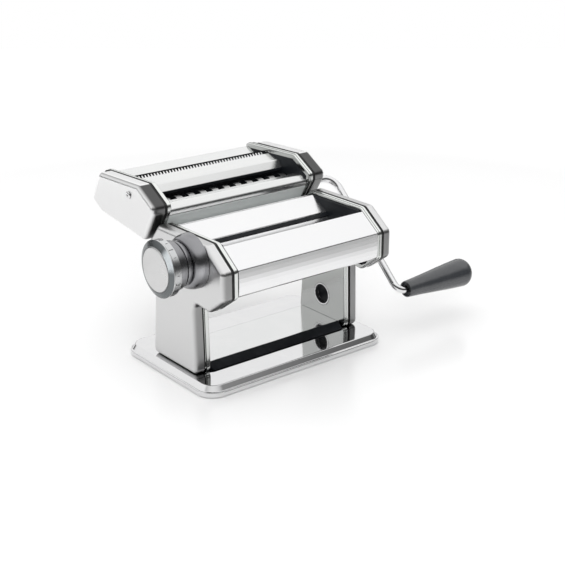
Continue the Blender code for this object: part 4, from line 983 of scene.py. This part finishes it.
# Dial
def dial():
    x_boss_end, x_hub, x_numbers, x_knob, x_face = 0.1037, 0.1040, 0.1188, 0.1251, 0.1289
    band_radius, bore = 0.0238, 0.0043
    start = X_FACE + FIT
    profile = [(0.0860, bore), (0.0860, 0.0085), (start, 0.0085), (start, 0.0235),
               (start + 0.0012, 0.0235), *quarter(start + 0.0012, 0.0185, 0.0100, 0.0050),
               (x_boss_end, 0.0083), (start + 0.0030, 0.0083), (start + 0.0030, bore)]
    piece("dial_boss", lathe(profile, DIAL, -1, ring=True), "stand", DARK_CHROME, "dark_chrome",
          ["knob_boss"])
    end = x_hub + 0.0145
    profile = [(x_boss_end - 0.0070, bore), (x_boss_end - 0.0070, 0.0080), (x_hub, 0.0080),
               (x_hub, 0.0180), (x_hub + 0.0030, 0.0195), (x_hub + 0.0050, 0.0195),
               (x_hub + 0.0052, 0.0180), (x_hub + 0.0066, 0.0180), (x_hub + 0.0070, 0.0205),
               (end - 0.0010, 0.0217), (end, 0.0217), (end, 0.0203), (x_knob - FIT, 0.0203),
               (x_knob - FIT, 0), (x_hub + 0.00775, 0), (x_hub + 0.00775, bore)]
    piece("dial_hub", lathe(profile, DIAL, -1, ring=True), "knob", DARK_CHROME, "dark_chrome",
          ["knob_hub"], bevel=0.0002)
    profile = [(x_numbers, 0.0206), (x_numbers, band_radius), (x_numbers + 0.0060, band_radius),
               (x_numbers + 0.0060, 0.0206)]
    piece("dial_numbers_band", lathe(profile, DIAL, -1, ring=True), "knob", NUMBER_BAND, "satin_steel",
          ["number_ring"], bevel=0.0003)
    profile = [(x_knob, 0.0188), (x_knob, 0.0242), (x_knob + 0.0010, 0.0242), (x_face - 0.0006, 0.0196),
               (x_face - 0.0006, 0.0188)]
    rim = piece("dial_rim", lathe(profile, DIAL, -1, ring=True), "knob", DIAL_RING, "dark_grey_metal",
                ["knob_ring"], bevel=0.0002, second=CAP_STEEL)
    for face in rim.data.polygons:
        if abs(face.normal.x) < 0.3:
            face.material_index = 1
    profile = [(x_knob, 0), (x_knob, 0.0185), (x_face - 0.0006, 0.0185), (x_face - 0.0001, 0.0178),
               (x_face, 0.0160), (x_face, 0)]
    piece("dial_cap", lathe(profile, DIAL, -1), "knob", CAP_STEEL, "satin_steel", ["knob_cap"])
    numbers(x_numbers + 0.0030, band_radius)


def numbers(x, radius):
    """Plain numbers from 0 to 9 round the dial's band, with a short tick between each two."""
    whole = bmesh.new()
    for k in range(10):
        curve = set_up(bpy.data.curves.new("numeral", "FONT"), body=str(k), size=0.0060,
                       align_x="CENTER", align_y="CENTER", extrude=0.00004)
        numeral = in_scene("numeral", curve)
        mesh = finished_mesh(numeral)
        bpy.data.objects.remove(numeral, do_unlink=True)
        digit, tick = bmesh.new(), bmesh.new()
        digit.from_mesh(mesh)
        bmesh.ops.create_cube(tick, size=1)
        bmesh.ops.scale(tick, verts=tick.verts, vec=(0.0004, 0.0022, 0.00012))
        for mark, place in ((digit, k), (tick, k + 0.5)):
            wrap(mark, x, radius, 2 * pi * place / 10)
            mark.to_mesh(mesh)
            mark.free()
            whole.from_mesh(mesh)
    piece("dial_numerals", whole, "knob", INK, "black_plastic")


def wrap(bm, x, radius, start):
    """Bends flat lettering round the dial: across runs round it and up points to the cap."""
    for vert in bm.verts:
        across, up, out = vert.co
        angle = start + across / radius
        reach = radius + out + 0.00004
        vert.co = (-x - up, DIAL[0] - reach * sin(angle), DIAL[1] + reach * cos(angle))


def clamp_bush():
    inner, outer, end = CLAMP_RADIUS, CLAMP_RADIUS + 0.0012, X_FACE + FIT
    profile = [(X_FRAME, inner + 0.0004), (X_FRAME + 0.0006, inner), (end + 0.0004, inner),
               (end + 0.0008, inner + 0.0004), (end + 0.0008, outer + 0.0010), (end, outer + 0.0014),
               (end, outer), (X_FRAME, outer)]
    piece("clamp_sleeve", lathe(profile, CLAMP, ring=True), "stand", BLACK, "black_plastic",
          ["clamp_bush"])
    mouth = [(X_FRAME - 0.0002, inner + 0.0012), (X_FRAME - 0.0002, inner - 0.0002),
             (X_FRAME + 0.0040, inner - 0.0004), (X_FRAME + 0.0040, inner + 0.0006)]
    piece("clamp_mouth", lathe(mouth, CLAMP, ring=True), "stand", MIRROR, "polished_steel", bevel=0.0002)


# Crank
def crank():
    lean = radians(CRANK_ANGLE)
    down = Vector((0, -sin(lean), -cos(lean)))
    across = Vector((1, 0, 0))
    top = Vector((0, *WIDE))
    start = X_CUT_FACE + 0.0010
    bm = bmesh.new()
    bmesh.ops.create_circle(bm, cap_ends=True, radius=ROD_RADIUS, segments=32)
    face_along_x(bm, start, WIDE)
    end = draw_out(bm, bm.faces[:], across * (X_ARM - TOP_BEND - start))
    elbow = top + across * (X_ARM - TOP_BEND) + down * TOP_BEND
    end = swing(bm, end, elbow, across.cross(down))
    end = draw_on(bm, end, down * (CRANK_REACH - TOP_BEND - LOW_BEND))
    elbow = top + down * (CRANK_REACH - LOW_BEND) + across * (X_ARM + LOW_BEND)
    end = swing(bm, end, elbow, down.cross(across))
    draw_on(bm, end, across * (HANDLE_START + HANDLE_LENGTH - 0.0140 - X_ARM - LOW_BEND))
    item = piece("crank_bar", bm, "crank", CHROME, "polished_steel", ["crank_rod"])
    cut(item, [hexagon(WIDE, X_COVER + 0.0085, start + 0.001, 0)], "UNION")


def handle():
    lean = radians(CRANK_ANGLE)
    centre = (WIDE[0] - sin(lean) * CRANK_REACH, WIDE[1] - cos(lean) * CRANK_REACH)
    bore, start, end, steps = ROD_RADIUS + FIT, HANDLE_START, HANDLE_START + HANDLE_LENGTH, 24
    profile = [(start + 0.0040, bore), (start + 0.0040, 0.0054), (start + 0.0036, 0.0060),
               (start + 0.0004, 0.0066), (start, 0.0070), (start + 0.0003, 0.0075), (start + 0.0012, 0.0078)]
    for k in range(1, steps + 1):
        share = k / steps
        swell = 0.0078 + 0.0060 * (0.75 * share + 0.25 * (1 - cos(pi * share)) / 2)
        profile.append((start + 0.0012 + (HANDLE_LENGTH - 0.0120) * share, swell))
    profile += [*quarter(end - 0.0108, 0, 0.0108, 0.0138), (end - 0.0130, 0), (end - 0.0130, bore)]
    piece("grip", lathe(profile, centre, ring=True, steps=72), "handle", HANDLE, "handle_plastic",
          ["crank_handle"])


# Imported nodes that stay, with their finishes
def dress_nodes():
    for names, finish in (
            ("cheek_left cheek_right", BLACK),
            ("bearing_block_left bearing_block_right regulator_cam", RUBBER),
            ("tie_rod_front tie_rod_rear tie_rod_top cutter_tie_upper cutter_tie_lower", ROD_STEEL),
            ("scraper_front scraper_rear mount_rail cutter_hanger", BRACKET),
            ("rear_roller_gear front_roller_gear regulator_shaft", GEAR_STEEL)):
        for name in names.split():
            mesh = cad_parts[name].data
            mesh.materials.clear()
            mesh.materials.append(finish)


# Studio
def pale_floor():
    """A floor with painted shade that darkens it past the crank, and far away glows as the pale background.
    """
    ground = Vector((*CAMERA[:2], 0)) + MIDDLE
    ahead, right = Vector((0.6248, 0.7808, 0)), Vector((0.7808, -0.6248, 0))
    corners = ((0.50, -1.3), (0.50, 0.60), (2.6, 1.60), (2.6, -1.8))
    bm = bmesh.new()
    bm.faces.new([bm.verts.new(ground + ahead * far + right * across) for far, across in corners])
    bmesh.ops.recalc_face_normals(bm, faces=bm.faces)
    if bm.faces[:][0].normal.z < 0:
        bmesh.ops.reverse_faces(bm, faces=bm.faces)
    floor = as_object("floor", bm)
    paper, tree, place = new_material("pale floor", Roughness=0.22, Emission_Color=(1, 1, 1, 1))
    rays = node(tree, "LightPath")
    seen = calc(tree, "MAXIMUM", rays["Is Camera Ray"], rays["Is Glossy Ray"])
    seen = calc(tree, "MAXIMUM", seen, rays["Is Transmission Ray"])
    glow = eased(tree, vector(tree, "LENGTH", place), (0.65, 1.20), (0.06, 1.0))
    # Painted shade: the floor's colour falls from 0.92 to 0.55 out towards the crank and the front, for a
    # darker floor there in the metal's reflections.
    outwards = vector(tree, "DOT_PRODUCT", place, (0.622, -0.783, 0.0))
    grey = eased(tree, outwards, (0.29, 0.44), (0.92, 0.55))
    falloff_colour = node(tree, "CombineColor", [(0, grey), (1, grey), (2, grey)])[0]
    set_shader(paper, Base_Color=falloff_colour, Emission_Strength=calc(tree, "MULTIPLY", seen, glow))
    floor.data.materials.append(paper)


def studio_walls():
    """A world that is white to the camera, and lights the metal from above and behind."""
    world = bpy.data.worlds.new("studio")
    bpy.context.scene.world = world
    world.use_nodes = True
    tree = world.node_tree
    toward = node(tree, "SeparateXYZ", [(0, node(tree, "TexCoord")["Generated"])])
    high = eased(tree, toward[2], (0.40, 0.72))
    behind = eased(tree, toward[1], (-0.35, 0.25))
    above = eased(tree, toward[2], (0.04, 0.26))
    below = eased(tree, toward[2], (-0.02, -0.14))
    bright = calc(tree, "MAXIMUM", high, calc(tree, "MULTIPLY", behind, above))
    tone = ranged(tree, calc(tree, "MULTIPLY_ADD", below, 0.5, bright), 0.07, 1.05)
    level = calc(tree, "MAXIMUM", tone, node(tree, "LightPath")["Is Camera Ray"])
    fill(tree, tree.nodes["Background"].inputs, [("Color", (1, 1, 1, 1)), ("Strength", level)])


def lamps_and_camera():
    for name, place, size, power in (
            ("overhead softbox", (-0.2, 0.1, 1.5), 1.4, 2.0),
            ("left softbox", (-1.5, -0.2, 0.9), 1.2, 1.0),
            ("front softbox", (-0.8, -1.1, 0.6), 0.8, 10.0)):
        lamp = set_up(bpy.data.lights.new(name, "AREA"), shape="SQUARE", size=size, energy=power)
        aim = (Vector((0, 0, 0.07)) - Vector(place)).to_track_quat("-Z", "Y").to_euler()
        set_up(in_scene(name, lamp), visible_glossy=False, location=place, rotation_euler=aim)

    lens = set_up(bpy.data.cameras.new("camera"), lens=74.07, sensor_width=36)
    aim = Matrix.Rotation(radians(-38.668), 3, "Z") @ Matrix.Rotation(radians(90 - 20.809), 3, "X")
    camera = set_up(in_scene("camera", lens), location=Vector(CAMERA) + MIDDLE, rotation_euler=aim.to_euler())
    bpy.context.scene.camera = camera
    bpy.context.scene.view_settings.view_transform = "Standard"


base_plate()
feet()
tray()
frames_and_covers()
head_sheets()
cutter_sheets()
fine_comb()
dark_strips()
wiper_lip()
dough_rollers()
cutters()
dial()
clamp_bush()
crank()
handle()
dress_nodes()
pale_floor()
studio_walls()
lamps_and_camera()
